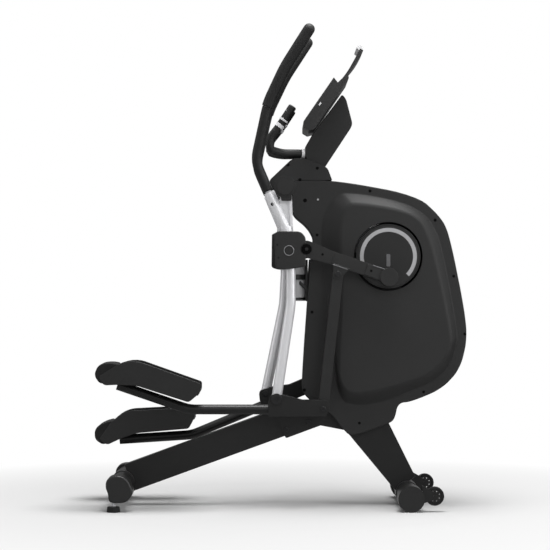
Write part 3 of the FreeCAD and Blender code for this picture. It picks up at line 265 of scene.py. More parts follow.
NODE_FINISH = {
    housing_plastic: [*both("housing"), "neck_cover", "console_mast"],
    trim_plastic: [*both("arm_box", "wheel"), "console_body", "front_end_caps", "rear_end_caps",
                   "bottle_cage"],
    gloss_plastic: [*both("hub_cap"), "crank_discs", "tablet_rest"],
    pedal_plastic: both("pedal_tray"),
    rubber: [*both("pedal_pad", "foot"), "drive_belt"],
    foam: both("handle_foam"),
    silver: both("swing_tube", "handle_tube"),
    cast_alloy: both("arm_casting"),
    zinc: ["pivot_axle", "crank_axle", "brake_magnets"],
    dark_bolt: [*both("rod_bolt", "pedal_bolts"), "frame_bolts"],
    chrome: ["handlebar_rings"],
    iron: ["flywheel", "drive_pulley"],
    glass: ["console_screen"],
    rod_paint: both("connecting_rod", "drop_link"),
}
finish_of = {name: finish for finish, names in NODE_FINISH.items() for name in names}


def paint(piece, finish):
    piece.data.materials.clear()
    piece.data.materials.append(finish.material)


for name, node in nodes.items():
    paint(node, finish_of.get(name, frame_paint))
print(len(nodes), "nodes painted")

# %% [markdown]
# ## A small workbench
# Each new piece is made as by hand: add a primitive, open it, pick faces or edges by their place, and run
# an operator on them. A few helpers do the fetching and carrying, so the cells below show only the
# shaping.

# %% Start, pick and finish a piece
def start(primitive, **where):
    """Adds a primitive with nothing else selected and opens it."""
    bpy.ops.object.select_all(action="DESELECT")
    getattr(bpy.ops.mesh, f"primitive_{primitive}_add")(**where)
    bpy.ops.object.mode_set(mode="EDIT")


def pick(kind, test):
    """Selects only the verts, edges or faces that pass a test, and says how many those are."""
    bpy.ops.mesh.select_mode(type={"verts": "VERT", "edges": "EDGE", "faces": "FACE"}[kind])
    bpy.ops.mesh.select_all(action="DESELECT")
    mesh = bmesh.from_edit_mesh(bpy.context.object.data)
    mesh.normal_update()
    chosen = [part for part in getattr(mesh, kind) if test(part)]
    for part in chosen:
        part.select_set(True)
    mesh.select_flush_mode()
    bmesh.update_edit_mesh(bpy.context.object.data)
    return len(chosen)


def open_all():
    """Opens the active piece with all of it selected."""
    bpy.ops.object.mode_set(mode="EDIT")
    bpy.ops.mesh.select_all(action="SELECT")


def pick_ends():
    """Selects the two flat ends of a round bar."""
    pick("faces", lambda face: len(face.verts) > 8)


def pull(step):
    """Extrudes what is selected."""
    bpy.ops.mesh.extrude_region_move(TRANSFORM_OT_translate={"value": step})


def step_in(margin, step):
    """Insets the selected faces and pulls what is left of them."""
    bpy.ops.mesh.inset(thickness=margin)
    pull(step)


def make_ring(wall):
    """Opens both ends of a round bar and joins the two openings, which leaves a ring."""
    pick_ends()
    bpy.ops.mesh.inset(thickness=wall)
    bpy.ops.mesh.delete(type="FACE")
    pick("edges", lambda edge: edge.is_boundary)
    bpy.ops.mesh.bridge_edge_loops()


def round_edges(width, segments=3, test=lambda edge: True, sharp=30):
    """Bevels the edges that are sharper than an angle."""
    limit = math.radians(sharp)
    if pick("edges", lambda edge: edge.is_manifold and edge.calc_face_angle(0) > limit and test(edge)):
        bpy.ops.mesh.bevel(offset=width, segments=segments, profile=0.5, clamp_overlap=True)


def finish(name, coat, body, *stands_for, seat=None, smooth=35):
    """Closes a piece: normals out, flats kept flat, place put into the mesh, and joined to its CAD body."""
    if bpy.context.mode != "OBJECT":
        bpy.ops.object.mode_set(mode="OBJECT")
    piece = bpy.context.object
    if seat is not None:
        piece.matrix_world = seat @ piece.matrix_world
    bpy.ops.object.transform_apply(location=True, rotation=True, scale=True)
    open_all()
    bpy.ops.mesh.normals_make_consistent(inside=False)
    bpy.ops.object.mode_set(mode="OBJECT")
    bpy.ops.object.shade_smooth_by_angle(angle=math.radians(smooth))
    modifier("WEIGHTED_NORMAL", keep_sharp=True)
    piece.name = piece.data.name = name
    paint(piece, coat)
    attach(piece, body)
    if stands_for:
        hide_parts(*stands_for)
    return piece


def laid_down():
    """Leaves edit mode and hands over the piece."""
    bpy.ops.object.mode_set(mode="OBJECT")
    return bpy.context.object


def only(*pieces):
    """Selects just these objects, with the first one active."""
    bpy.ops.object.select_all(action="DESELECT")
    for piece in pieces:
        piece.select_set(True)
    bpy.context.view_layer.objects.active = pieces[0]


def modifier(kind, **settings):
    """Adds a modifier to the active piece and applies it."""
    added = bpy.context.object.modifiers.new(kind.lower(), kind)
    for name, value in settings.items():
        setattr(added, name, value)
    bpy.ops.object.modifier_apply(modifier=added.name)


print("workbench ready")

# %% Draw an outline and pull it into a plate
def outline(corners, y, roundings, segments=5):
    """A closed outline of the side view at one y. Its roundings are metres, or one share of the runs."""
    start("circle", vertices=len(corners), radius=1, rotation=(math.pi / 2, 0, 0))
    bpy.ops.object.mode_set(mode="OBJECT")
    bpy.ops.object.transform_apply(location=True, rotation=True, scale=True)
    for vertex, (x, z) in zip(bpy.context.object.data.vertices, corners):
        vertex.co = (x, y, z)
    bpy.ops.object.mode_set(mode="EDIT")
    if isinstance(roundings, float):
        bpy.ops.mesh.select_all(action="SELECT")
        share = roundings * 100
        bpy.ops.mesh.bevel(affect="VERTICES", offset_type="PERCENT", offset_pct=share, segments=segments)
    else:
        for (x, z), rounding in zip(corners, roundings):
            if rounding:
                corner = Vector((x, y, z))
                pick("verts", lambda vertex: (vertex.co - corner).length < 1e-6)
                bpy.ops.mesh.bevel(affect="VERTICES", offset=rounding, segments=segments)
    bpy.ops.mesh.select_all(action="SELECT")


def thickened(wall, way):
    """Gives an open skin its wall, on the inside. Its largest flat looks towards way."""
    pick("faces", lambda face: True)
    bpy.ops.mesh.remove_doubles(threshold=1e-5)
    bpy.ops.mesh.normals_make_consistent(inside=False)
    mesh = bmesh.from_edit_mesh(bpy.context.object.data)
    mesh.normal_update()
    flats = [face for face in mesh.faces if abs(face.normal.y) > 0.99]
    if max(flats, key=lambda face: face.calc_area()).normal.y * way < 0:
        bpy.ops.mesh.flip_normals()
    bpy.ops.object.mode_set(mode="OBJECT")
    modifier("SOLIDIFY", thickness=wall, offset=-1.0)


def plate(corners, low, high, roundings, segments=5):
    """A flat plate of that outline between two values of y."""
    outline(corners, low, roundings, segments)
    bpy.ops.mesh.edge_face_add()
    pull((0, high - low, 0))


def in_plane(y, edge):
    """True for an edge that lies at one y."""
    return all(abs(v.co.y - y) < 1e-6 for v in edge.verts)


def round_sides(y, width, segments):
    """Rounds the sharp edges of a plate that start at y or at -y."""
    round_edges(width, segments, lambda edge: abs(abs(edge.verts[0].co.y) - y) < 1e-5)


def mm(*corners):
    """Corners in millimetres as metres."""
    return [(x / 1000, z / 1000) for x, z in corners]


print("outlines ready")

# %% [markdown]
# ## Housing
# The housing is two moulded shells, screwed together round the frame. Each has a flat rim, a raised panel
# with sloped sides, and a round hole for the crank's disc. A CAD loft has knife edges where the real
# moulding is soft. So each shell is drawn again from three outlines: the rim and the foot of the slope
# lie in one plane, the crest lies higher, and every fold between them is rounded before the skin gets its
# thickness.

# %% Outlines of the housing
RIM = mm((204.1, 1163), (494.1, 1110), (583.1, 1027), (611.1, 961), (660.1, 720), (674.1, 600), (648.1, 490),
         (582.1, 418), (474.1, 373), (426.1, 368), (414.1, 311), (394.1, 295), (258.1, 247), (226.1, 279),
         (183.1, 336), (86.1, 393), (83.1, 454), (117.1, 930), (125.1, 954), (101.1, 996), (47.1, 1039),
         (48.1, 1085), (48.1, 1152), (48.1, 1163), (58, 1163))
FOOT = mm((147.1, 985), (172, 1072), (214, 1112), (250, 1119), (395, 1097), (500, 1059), (556, 1000),
          (588, 895), (637, 625), (634, 575), (611, 505), (555, 447), (462, 410), (361.1, 368), (276.1, 362),
          (219.1, 376), (199.1, 500), (170.1, 736))
CREST = mm((217, 985), (228, 1046), (250, 1075), (275, 1081), (418, 1062), (500, 1031), (531, 976),
           (562, 871), (617, 612), (610, 563), (588, 520), (538, 470), (440, 435), (324.1, 406),
           (253.1, 399), (222.1, 430), (207.1, 488), (225.1, 736))
RIM_Y, PANEL_Y, HOLE = 0.07, 0.104, 0.121
axle = Vector((0.3891, 0, 0.891))
print("outlines of", len(RIM), len(FOOT), "and", len(CREST), "corners")

# %% Skin of one shell
def joined(*loops):
    """Several drawn pieces as one object, open for editing."""
    only(*loops)
    bpy.ops.object.join()
    open_all()


def fill_between(y):
    """Fills the flat between the two open loops at one y."""
    pick("edges", lambda edge: (edge.is_boundary or edge.is_wire) and in_plane(y, edge))
    bpy.ops.mesh.fill()


def on_hole(edge):
    """True for an edge whose first end lies on the rim of the round hole."""
    from_axle = edge.verts[0].co - axle
    return abs(from_axle.length_squared - PANEL_Y**2 - HOLE**2) < 1e-5


def housing_skin(way):
    """Side wall, rim, slope, panel and the round hole's edge. Way is -1 on the near side, 1 on the far."""
    y_rim, y_panel = way * RIM_Y, way * PANEL_Y
    outline(FOOT, y_rim, 0.45)
    foot = laid_down()
    outline(CREST, y_panel, 0.45)
    joined(laid_down(), foot)
    bpy.ops.mesh.bridge_edge_loops()
    slope = laid_down()
    hole_centre = (axle.x, y_panel, axle.z)
    start("circle", vertices=96, radius=HOLE, location=hole_centre, rotation=(math.pi / 2, 0, 0))
    joined(slope, laid_down())
    fill_between(y_panel)
    panel = laid_down()
    outline(RIM, y_rim, 0.38)
    joined(panel, laid_down())
    fill_between(y_rim)
    pick("faces", lambda face: True)
    bpy.ops.mesh.dissolve_limited(angle_limit=math.radians(0.5))
    pick("edges", lambda edge: edge.is_boundary and in_plane(y_rim, edge))
    pull((0, -y_rim + way * 0.0002, 0))
    for y, width in ((y_rim, 0.006), (y_panel, 0.009)):
        pick("edges", lambda edge: edge.is_manifold and in_plane(y, edge) and edge.calc_face_angle(0) > 0.3)
        bpy.ops.mesh.bevel(offset=width, segments=4, clamp_overlap=True)
    pick("edges", lambda edge: edge.is_boundary and in_plane(y_panel, edge))
    pull((0, -way * 0.012, 0))
    pick("edges", lambda edge: in_plane(y_panel, edge) and on_hole(edge))
    bpy.ops.mesh.bevel(offset=0.002, segments=3)


for side, way in (("near", -1), ("far", 1)):
    housing_skin(way)
    thickened(0.003, way)
    shell = finish(f"{side}_shell", housing_plastic, "frame", f"{side}_housing")
    print(shell.name, len(shell.data.polygons), "faces")

# %% [markdown]
# ## Where the moving pieces sit
# The swing arm, rod, link and pedal of each side are drawn about the pivot they turn on, with +Y
# outwards, and then carried to their place. The pivots come from the CAD joints. The turns are those of
# the machine at rest, with the near crank straight down and the far one straight up.

# %% Seats
PIVOT = {joint["name"]: Vector(joint["pos_m"]) for joint in frame["joints"] if "pos_m" in joint}
TURN = {"near": {"arm": 0.018, "rod": -18.62, "link": -6.206, "pedal": -0.043},
        "far": {"arm": -3.026, "rod": 9.697, "link": -12.968, "pedal": 22.54}}
OUTWARD = {"near": -1, "far": 1}


def seat(side, part):
    """Carries a piece drawn about its own pivot to its side of the machine."""
    turn = Matrix.Rotation(math.radians(TURN[side][part]), 4, (0, -1, 0))
    mirrored = turn @ Matrix.Diagonal((1, OUTWARD[side], 1, 1))
    return Matrix.Translation(PIVOT[f"{side}_{part}_swing"]) @ mirrored


def fit(side, part, name, coat, *stands_for):
    """Finishes a piece that is drawn about its own pivot."""
    nodes_of_side = [f"{side}_{node}" for node in stands_for]
    return finish(f"{side}_{name}", coat, f"{side}_{part}", *nodes_of_side, seat=seat(side, part))


def bar(radius, low, high, x, z, sides=64):
    """A round bar across the machine, between two values of y."""
    middle = (x, (low + high) / 2, z)
    rotation = (math.pi / 2, 0, 0)
    start("cylinder", vertices=sides, radius=radius, depth=high - low, location=middle, rotation=rotation)


print("near pedal turns on", PIVOT["near_pedal_swing"][:])

# %% [markdown]
# ## Softened copies
# Steel tubes and plates are never knife sharp. Where the CAD shape is right but its edges catch no light,
# the node is duplicated, its loose triangles are merged into clean faces, and the sharp edges are
# bevelled.

# %% Copy a node and soften its edges
def softened(name, node, coat, body, width, test=lambda edge: True):
    only(nodes[node])
    bpy.ops.object.duplicate()
    piece = bpy.context.object
    del piece["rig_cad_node"]
    bpy.ops.object.parent_clear(type="CLEAR_KEEP_TRANSFORM")
    open_all()
    bpy.ops.mesh.remove_doubles(threshold=2e-5)
    bpy.ops.mesh.dissolve_limited(angle_limit=math.radians(0.6))
    limit = math.radians(35)
    pick("edges", lambda edge: edge.is_manifold and edge.calc_face_angle(0) > limit and test(edge))
    bpy.ops.mesh.bevel(offset=width, segments=2, clamp_overlap=True)
    finish(name, coat, body, node)


def outside(edge):
    """True for an edge of the frame that stands outside its inner plates."""
    return all(abs(v.co.y) > 0.0295 for v in edge.verts)


softened("beam_tube", "base_beam", frame_paint, "frame", 0.004, outside)
softened("leg_tube", "front_leg", frame_paint, "frame", 0.003, outside)
softened("gusset_plates", "joint_plates", frame_paint, "frame", 0.0012)
softened("post_tube", "spine_post", frame_paint, "frame", 0.001)
POST_FOOT = (0, 0, 0.288)
open_all()
bpy.ops.mesh.bisect(plane_co=POST_FOOT, plane_no=(0, 0, 1), clear_inner=True, use_fill=True)
bpy.ops.object.mode_set(mode="OBJECT")
for side in OUTWARD:
    softened(f"{side}_rod", f"{side}_connecting_rod", rod_paint, f"{side}_rod", 0.0018)
    softened(f"{side}_link_bar", f"{side}_drop_link", rod_paint, f"{side}_link", 0.0016)
    softened(f"{side}_pedal_fork", f"{side}_pedal_arm", frame_paint, f"{side}_pedal", 0.0012)
print("softened copies ready")

# %% [markdown]
# ## Crank discs
# A smooth disc turns in the round hole of each shell and hides the crank arm. The near one has a thin
# groove inside its rim. A pale band runs three quarters of the way round each disc, open on the side of the
# crank pin, and a short pale bar lies over the crank: its pale coat is a painted highlight, for the light on
# the crank arm's edge. Both are thin inlays that stand a little proud.

# %% Discs
for side, way in OUTWARD.items():
    bar(0.1138, 0.0, 0.004, axle.x, axle.z, 128)
    if side == "near":
        pick_ends()
        step_in(0.0035, (0, 0.0012, 0))
        step_in(0.0008, (0, -0.0009, 0))
    round_edges(0.0006, 2, sharp=50)
    low = 0.1083 if way > 0 else -0.1123
    finish(f"{side}_disc", gloss_plastic, "crank", seat=Matrix.Translation((0, low, 0)))
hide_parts("crank_discs")

# %% Pale band and bar
def pale_band(side, way):
    """A flat ring cut open round the crank pin, 94 degrees wide there."""
    middle = Vector((axle.x, way * 0.1119, axle.z))
    start("circle", vertices=180, radius=0.101, fill_type="NGON", location=middle,
          rotation=(math.pi / 2, 0, 0))
    bpy.ops.mesh.inset(thickness=0.0135)
    bpy.ops.mesh.delete(type="FACE")
    bpy.ops.object.mode_set(mode="OBJECT")
    bpy.ops.object.transform_apply(location=True, rotation=True, scale=True)
    bpy.ops.object.mode_set(mode="EDIT")
    pin = Vector((0, 0, way))
    pick("faces", lambda face: (face.calc_center_median() - middle).angle(pin) < 0.82)
    bpy.ops.mesh.delete(type="FACE")
    pick("faces", lambda face: True)
    pull((0, way * 0.0008, 0))
    round_edges(0.0002, 2)
    finish(f"{side}_disc_band", light_print, "crank")


for side, way in OUTWARD.items():
    pale_band(side, way)
    # The bar's pale coat is a painted highlight, for the light on the crank arm's edge.
    place = (axle.x, way * 0.1123, axle.z + way * 0.014)
    start("cube", size=1, location=place, scale=(0.0135, 0.0016, 0.044))
    pick("edges", lambda edge: abs((edge.verts[0].co - edge.verts[1].co).normalized().y) > 0.9)
    bpy.ops.mesh.bevel(offset=0.003, segments=4)
    round_edges(0.0003, 2)
    finish(f"{side}_disc_bar", painted_highlight_coat, "crank")
print("discs ready")

# %% [markdown]
# ## Arm boxes
# Two black shells close round the joint where the swing arm's tubes meet and the connecting rod is bolted
# on. They are open at the front, where the rod comes out, and notched round the rod's knob.

# %% Shells of the arm boxes
BOX = mm((-38, -163), (-24, -155), (56, -156), (73, -178), (73, -279), (40, -285), (-6, -291), (-33, -284))
BOX_CORNERS = [0.004, 0.004, 0.012, 0.008, 0.003, 0, 0.010, 0.008]
KNOB_X, KNOB_Z = 0.076, -0.218


def take_out(drill, piece):
    """Takes the shape of a drill out of a piece, and throws the drill away."""
    only(piece)
    modifier("BOOLEAN", operation="DIFFERENCE", object=drill, solver="EXACT")
    bpy.data.objects.remove(drill)


def box_opening(face):
    """True for the faces between the two halves and at the box's front."""
    middle = face.calc_center_median()
    return abs(middle.y) < 0.001 or (abs(face.normal.x) > 0.95 and middle.x > 0.0715)


for side in OUTWARD:
    for half, way in (("outer", 1), ("inner", -1)):
        plate(BOX, way * 0.00015, way * 0.034, BOX_CORNERS, 4)
        round_edges(0.0045, 4, lambda edge: in_plane(way * 0.034, edge))
        pick("faces", box_opening)
        bpy.ops.mesh.delete(type="FACE")
        thickened(0.003, way)
        box = laid_down()
        bar(0.022, -0.05, 0.05, KNOB_X, KNOB_Z, 48)
        take_out(laid_down(), box)
        fit(side, "arm", f"box_{half}", trim_plastic)
    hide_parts(f"{side}_arm_box")
print("arm boxes ready")

# %% [markdown]
# ## Small round parts
# A plain coin sits in a ring on each arm box. The pivot ends in a round cap with a raised middle and a
# tongue, and the rod's bolt has a scalloped knob, like a star, that a hand can turn.

# %% Coins on the boxes
COIN_X, COIN_Z = 0.014, -0.223
for side in OUTWARD:
    bar(0.0178, 0.0336, 0.0360, COIN_X, COIN_Z)
    make_ring(0.0016)
    round_edges(0.0003, 2)
    fit(side, "arm", "box_ring", zinc)
    bar(0.0161, 0.0338, 0.0354, COIN_X, COIN_Z)
    round_edges(0.0003, 2)
    fit(side, "arm", "box_coin", gloss_plastic)

# %% Pivot caps
for side in OUTWARD:
    bar(0.038, 0.0223, 0.038, 0, 0, 96)
    pick_ends()
    step_in(0.0097, (0, 0.0107, 0))
    # The cap is still in its own frame here, lying along z, so this rounds its front and back most.
    round_edges(0.0004, 2, lambda edge: edge.verts[0].co.xz.length < 0.037)
    round_edges(0.0018, 3, lambda edge: edge.verts[0].co.xz.length > 0.037)
    fit(side, "arm", "pivot_cap", gloss_plastic, "hub_cap")
    plate(mm((-17, -30), (24, -30), (24, -49), (-12, -49)), 0.026, 0.0365, [0, 0, 0.004, 0.004])
    round_edges(0.0012, 2)
    fit(side, "arm", "cap_tongue", gloss_plastic)

# %% Knobs of the rod bolts
def knob(radius, lobes, low, high, x, z):
    """A disc with a scalloped edge."""
    corners = []
    for n in range(lobes * 6):
        angle = 2 * math.pi * n / (lobes * 6)
        reach = radius * (1 - 0.09 * max(0, math.cos(lobes * angle)) ** 2)
        corners.append((x + reach * math.cos(angle), z + reach * math.sin(angle)))
    plate(corners, low, high, [0] * len(corners))
    round_edges(0.0008, 2, sharp=60)


for side in OUTWARD:
    # The knob's near-black coat is partly painted shade, for the shadow in the recess round its bolt.
    knob(0.0185, 10, 0.0183, 0.0235, KNOB_X, KNOB_Z)
    fit(side, "arm", "knob", black_screw_and_painted_shade, "rod_bolt")
    bar(0.0058, 0.0225, 0.0272, KNOB_X, KNOB_Z, 32)
    round_edges(0.0004, 2)
    fit(side, "arm", "knob_bolt", dark_bolt)
    bar(0.00795, -0.024, 0.019, KNOB_X, KNOB_Z, 32)
    fit(side, "arm", "rod_pin", zinc)
    bar(0.012, -0.0263, -0.0183, KNOB_X, KNOB_Z, 6)
    round_edges(0.001, 2)
    fit(side, "arm", "rod_nut", zinc)

# %% Beads along the rods, in a painted highlight
for side in OUTWARD:
    # The beads' pale coat is a painted highlight, for light caught along the rod's lower ledge and the top
    # of its front plate.
    for name, along, below, long in (("lug", 0.132, -0.0215, 0.056), ("plate", 0.262, 0.0208, 0.046)):
        start("cylinder", vertices=24, radius=0.0017, depth=long, location=(along, 0.0183, below),
              rotation=(0, math.pi / 2, 0))
        round_edges(0.0012, 3)
        fit(side, "rod", f"rod_bead_{name}", painted_highlight_coat)
    bar(0.0078, 0.0233, 0.0246, 0.133, -0.048, 48)
    round_edges(0.0003, 2)
    fit(side, "rod", "link_pin_cap", dark_bolt)
print("small round parts ready")

# %% [markdown]
# ## Foam grips
# Each handle tube wears two foam sleeves: a thin one from its foot to the elbow, and a thicker grip with
# a ball end. The foam follows the bent tube, so a curve with a round bevel makes it: the line is the
# tube's own, in straight runs joined by arcs, and the radius swells and shrinks along it where hands and
# the cut ends show.

# %% The handle's line
def bent_line(corners, bends):
    """Points along straight runs that are joined by tangent arcs."""
    points = [corners[0]]
    for before, corner, after, bend in zip(corners, corners[1:], corners[2:], bends):
        a, b = (before - corner).normalized(), (after - corner).normalized()
        half = a.angle(b) / 2
        middle = corner + (a + b).normalized() * bend / math.sin(half)
        first, last = corner + a * bend / math.tan(half), corner + b * bend / math.tan(half)
        turn = (first - middle).rotation_difference(last - middle)
        points += [middle + Quaternion().slerp(turn, n / 10) @ (first - middle) for n in range(11)]
    return points + [corners[-1]]


def handle_line(side):
    """From the handle's foot to the top of the grip, in the swing arm's frame, with +Y outwards."""
    back = math.radians(3 if side == "far" else 0)
    c, s = math.cos(back), math.sin(back)
    line = []
    for x, lean, z in ((-58, 0, -14), (-104, 0.08, 92), (-60, 0.45, 292), (0, 0.7, 419), (86, 1, 553)):
        line.append(Vector((x * c - z * s, lean * 62, x * s + z * c)) / 1000)
    return bent_line(line, (0.11, 0.3, 0.5))


def length_of(points):
    return sum((b - a).length for a, b in zip(points, points[1:]))


def at_length(points, mark):
    """The point of a line that is so far along it."""
    walked = 0
    for a, b in zip(points, points[1:]):
        run = (b - a).length
        if mark <= walked + run or b is points[-1]:
            return a.lerp(b, (mark - walked) / run)
        walked += run


print("handle is", round(length_of(handle_line("near")), 3), "m long")

# %% Foam sleeves
def sleeve(line, marks):
    """A closed round sleeve along a line, open for editing. Marks are lengths along it with their radii."""
    bpy.ops.object.select_all(action="DESELECT")
    bpy.ops.curve.primitive_bezier_curve_add()
    curve = bpy.context.object.data
    curve.splines.clear()
    spline = curve.splines.new("POLY")
    spline.points.add(len(marks) - 1)
    for target, (mark, radius) in zip(spline.points, marks):
        target.co, target.radius = (*at_length(line, mark), 1), radius
    curve.dimensions, curve.bevel_depth, curve.bevel_resolution, curve.use_fill_caps = "3D", 1.0, 10, True
    bpy.ops.object.convert(target="MESH")
    open_all()
    bpy.ops.mesh.remove_doubles(threshold=1e-5)


def round_ended(low, high, radius, ends):
    """Lengths along the line with their radii: both ends are rounded off over a given length."""
    marks = []
    for at, turn, rounding in ((low, 1, ends[0]), (high, -1, ends[1])):
        side = [(at + turn * rounding * (1 - math.cos(angle)), radius - rounding * (1 - math.sin(angle)))
                for angle in [math.radians(15 * n) for n in range(7)]]
        marks.append(side[::turn])
    straight = high - low - ends[0] - ends[1]
    inner = round(straight / 0.012)
    middle = [(low + ends[0] + straight * n / inner, radius) for n in range(1, inner)]
    return marks[0] + middle + marks[1]


def foam_piece(name, side, low, high, radius, ends):
    """Foam round a handle tube, soft to the hand and filling most of its outline."""
    sleeve(handle_line(side), round_ended(low, high, radius, ends))
    piece = finish(f"{side}_{name}", foam, f"{side}_arm", seat=seat(side, "arm"), smooth=60)
    return piece


for side in OUTWARD:
    whole = length_of(handle_line(side))
    low_grip = length_of(handle_line(side)[:13]) + 0.024
    foam_piece("lower_foam", side, 0.001, low_grip - 0.0006, 0.018, (0.002, 0.002))
    grip = foam_piece("grip", side, low_grip, whole + 0.0165, 0.0205, (0.003, 0.0195))
    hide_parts(f"{side}_handle_foam")
    print(grip.name, len(grip.data.polygons), "faces")

# %% [markdown]
# ## Pedals
# A pedal is a moulded tray that carries the shoe: high side lips, a sunken floor with a ribbed rubber
# pad, and a rounded bumper behind the heel. The tray starts as its side outline pulled across the
# machine. The top is then inset, so that the lips keep their thickness, and pushed down flat to make the
# floor.

# %% Pedal trays
def pedal_seat(side):
    """A pedal is drawn along the rear run of its tube: +X back along it, +Z up from its middle line."""
    run = Matrix.Rotation(math.radians(18.84), 4, "Y") @ Matrix.Rotation(math.pi, 4, "Z")
    return seat(side, "pedal") @ Matrix.Translation((-0.308, 0, -0.038)) @ run


TRAY = mm((8, 28), (-20, 74), (-10, 104), (236, 107), (286, 72), (336, 10), (308, -12), (262, 6), (200, 24))
BUMPER = mm((283, 75), (318, 70), (350, 50), (352, 10), (322, -12), (300, 0))
for side in OUTWARD:
    plate(TRAY, -0.075, 0.075, [0.008, 0.01, 0.006, 0.03, 0.012, 0.01, 0.01, 0.012, 0.012], 4)
    pick("faces", lambda face: face.normal.z > 0.3 and face.calc_center_median().z > 0.071)
    step_in(0.0048, (0, 0, -0.03))
    bpy.ops.transform.resize(value=(1, 1, 0), center_override=(0.1, 0, 0.06))
    pick("faces", lambda face: face.normal.z < -0.3 and 0.012 < face.calc_center_median().x < 0.19)
    step_in(0.006, (0, 0, 0.02))
    round_edges(0.0022, 3, sharp=40)
    finish(f"{side}_tray", pedal_plastic, f"{side}_pedal", f"{side}_pedal_tray", seat=pedal_seat(side))
    plate(BUMPER, -0.072, 0.072, [0.008, 0.02, 0.016, 0.014, 0.012, 0.006], 5)
    round_sides(0.072, 0.006, 4)
    finish(f"{side}_heel_bumper", rubber, f"{side}_pedal", seat=pedal_seat(side))

# %% Ribbed foot pads
PAD = [(0.262, 0.0603), (0.004, 0.0603)]
RIBS, RIB_STEP = 25, 0.0104
for n in range(RIBS):
    PAD += [(0.0035 + n * RIB_STEP, z) for z in (0.0634, 0.0653)]
    PAD += [(0.0095 + n * RIB_STEP, z) for z in (0.0653, 0.0634)]
for side in OUTWARD:
    plate(PAD, -0.068, 0.068, [0] * len(PAD))
    round_edges(0.0005, 1)
    pad = finish(f"{side}_foot_pad", rubber, f"{side}_pedal", f"{side}_pedal_pad", seat=pedal_seat(side))
print("pedals ready, pad has", len(pad.data.polygons), "faces")

# %% [markdown]
# ## Bolts of the pedal arms
# The lower eye of the swing arm and the foot of the drop link turn on bolts between the two side plates.
# Their heads are round, with a socket for a key, so each head is a short bar with a six-sided bar taken
# out of it.

# %% Socket heads
def socket_head(name, coat, body, radius, low, high, x, z, place, key=0.45):
    """A round bolt head that looks towards +Y, with a six-sided socket."""
    bar(radius, low, high, x, z, 48)
    round_edges(min(0.0012, radius / 5), 3)
    head = laid_down()
    bar(radius * key, high - (high - low) * 0.5, high + 0.01, x, z, 6)
    take_out(laid_down(), head)
    return finish(name, coat, body, seat=place)


TOE_X, TOE_Z = 0.165, -0.035
for side in OUTWARD:
    place = seat(side, "pedal")
    heel = socket_head(f"{side}_heel_bolt", dark_bolt, f"{side}_pedal", 0.02, 0.0251, 0.0316, 0, 0, place)
    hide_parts(f"{side}_pedal_bolts")
    socket_head(f"{side}_toe_bolt", dark_bolt, f"{side}_pedal", 0.010, 0.0251, 0.0298, TOE_X, TOE_Z, place)
    for name, nut, pin, x, z in (("heel", 0.0125, 0.0079, 0, 0), ("toe", 0.0098, 0.0059, TOE_X, TOE_Z)):
        bar(nut, -0.0312, -0.0251, x, z, 6)
        round_edges(0.0008, 2)
        fit(side, "pedal", f"{name}_nut", dark_bolt)
        bar(pin, -0.0345, 0.0252, x, z, 32)
        round_edges(0.0008, 2)
        fit(side, "pedal", f"{name}_pin", dark_bolt)
print("bolts ready")

# %% [markdown]
# ## Wheels, end caps and feet
# Rubber-tyred wheels at the front let the machine be tipped and rolled away. Their hubs have a ring of
# small holes. The stabilizer bars end in moulded caps, and the rear ones stand on two levelling feet.

# %% Transport wheels
def drilled(holes):
    """Takes several round holes out of the open piece at once. Each hole is a radius and a place."""
    piece = laid_down()
    drills = []
    for radius, x, z in holes:
        bar(radius, -0.3, 0.3, x, z, 20)
        drills.append(laid_down())
    joined(*drills)
    take_out(laid_down(), piece)


for side, way in OUTWARD.items():
    hub = Vector((0.5431, way * 0.24, 0.055))
    bar(0.0225, hub.y - 0.0085, hub.y + 0.0085, hub.x, hub.z, 64)
    pick_ends()
    step_in(0.0105, (0, -way * 0.0024, 0))
    step_in(0.003, (0, way * 0.001, 0))
    round_edges(0.0006, 2)
    ring = [math.radians(45 * n + 22) for n in range(8)]
    drilled([(0.0021, hub.x + 0.0175 * math.cos(a), hub.z + 0.0175 * math.sin(a)) for a in ring])
    finish(f"{side}_wheel_hub", trim_plastic, f"{side}_wheel", f"{side}_wheel")
    bar(0.033, hub.y - 0.011, hub.y + 0.011, hub.x, hub.z, 96)
    make_ring(0.0106)
    round_edges(0.0035, 4)
    finish(f"{side}_tyre", rubber, f"{side}_wheel")

# %% End caps of the stabilizer bars
FRONT_X, FRONT_Z, REAR_X, REAR_Z = 0.4611, 0.046, -0.5579, 0.084
REAR = mm((-600.9, 84), (-600.9, 104), (-595, 116), (-583, 125), (-563, 129), (-541, 125), (-524, 113),
          (-514, 94), (-505, 71), (-517, 46), (-537, 32.4), (-581, 33), (-590.5, 41), (-593, 66))
for side, way in OUTWARD.items():
    low, high = sorted((way * 0.195, way * 0.27))
    bar(0.046, low, high, FRONT_X, FRONT_Z, 96)
    front = finish(f"{side}_front_cap", trim_plastic, "frame")
    plate(REAR, low, high, 0.35, 4)
    round_sides(0.27, 0.006, 5)
    round_sides(0.195, 0.0015, 2)
    rear = finish(f"{side}_rear_cap", trim_plastic, "frame")
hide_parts("front_end_caps")
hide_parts("rear_end_caps")

# %% Levelling feet
def upright(radius, low, high, x, y, sides=48):
    """An upright round bar between two heights."""
    start("cylinder", vertices=sides, radius=radius, depth=high - low, location=(x, y, (low + high) / 2))


for side, way in OUTWARD.items():
    x, y = -0.5749, way * 0.252
    start("cone", vertices=72, radius1=0.024, radius2=0.0212, depth=0.0195, location=(x, y, 0.00975))
    round_edges(0.0022, 3)
    finish(f"{side}_foot_pad_rubber", rubber, f"{side}_foot", f"{side}_foot")
    upright(0.0095, 0.0195, 0.0262, x, y, 6)
    round_edges(0.0008, 2)
    finish(f"{side}_foot_nut", zinc, f"{side}_foot")
    upright(0.005, 0.018, 0.056, x, y, 32)
    finish(f"{side}_foot_stem", zinc, f"{side}_foot")
print("wheels, caps and feet ready")

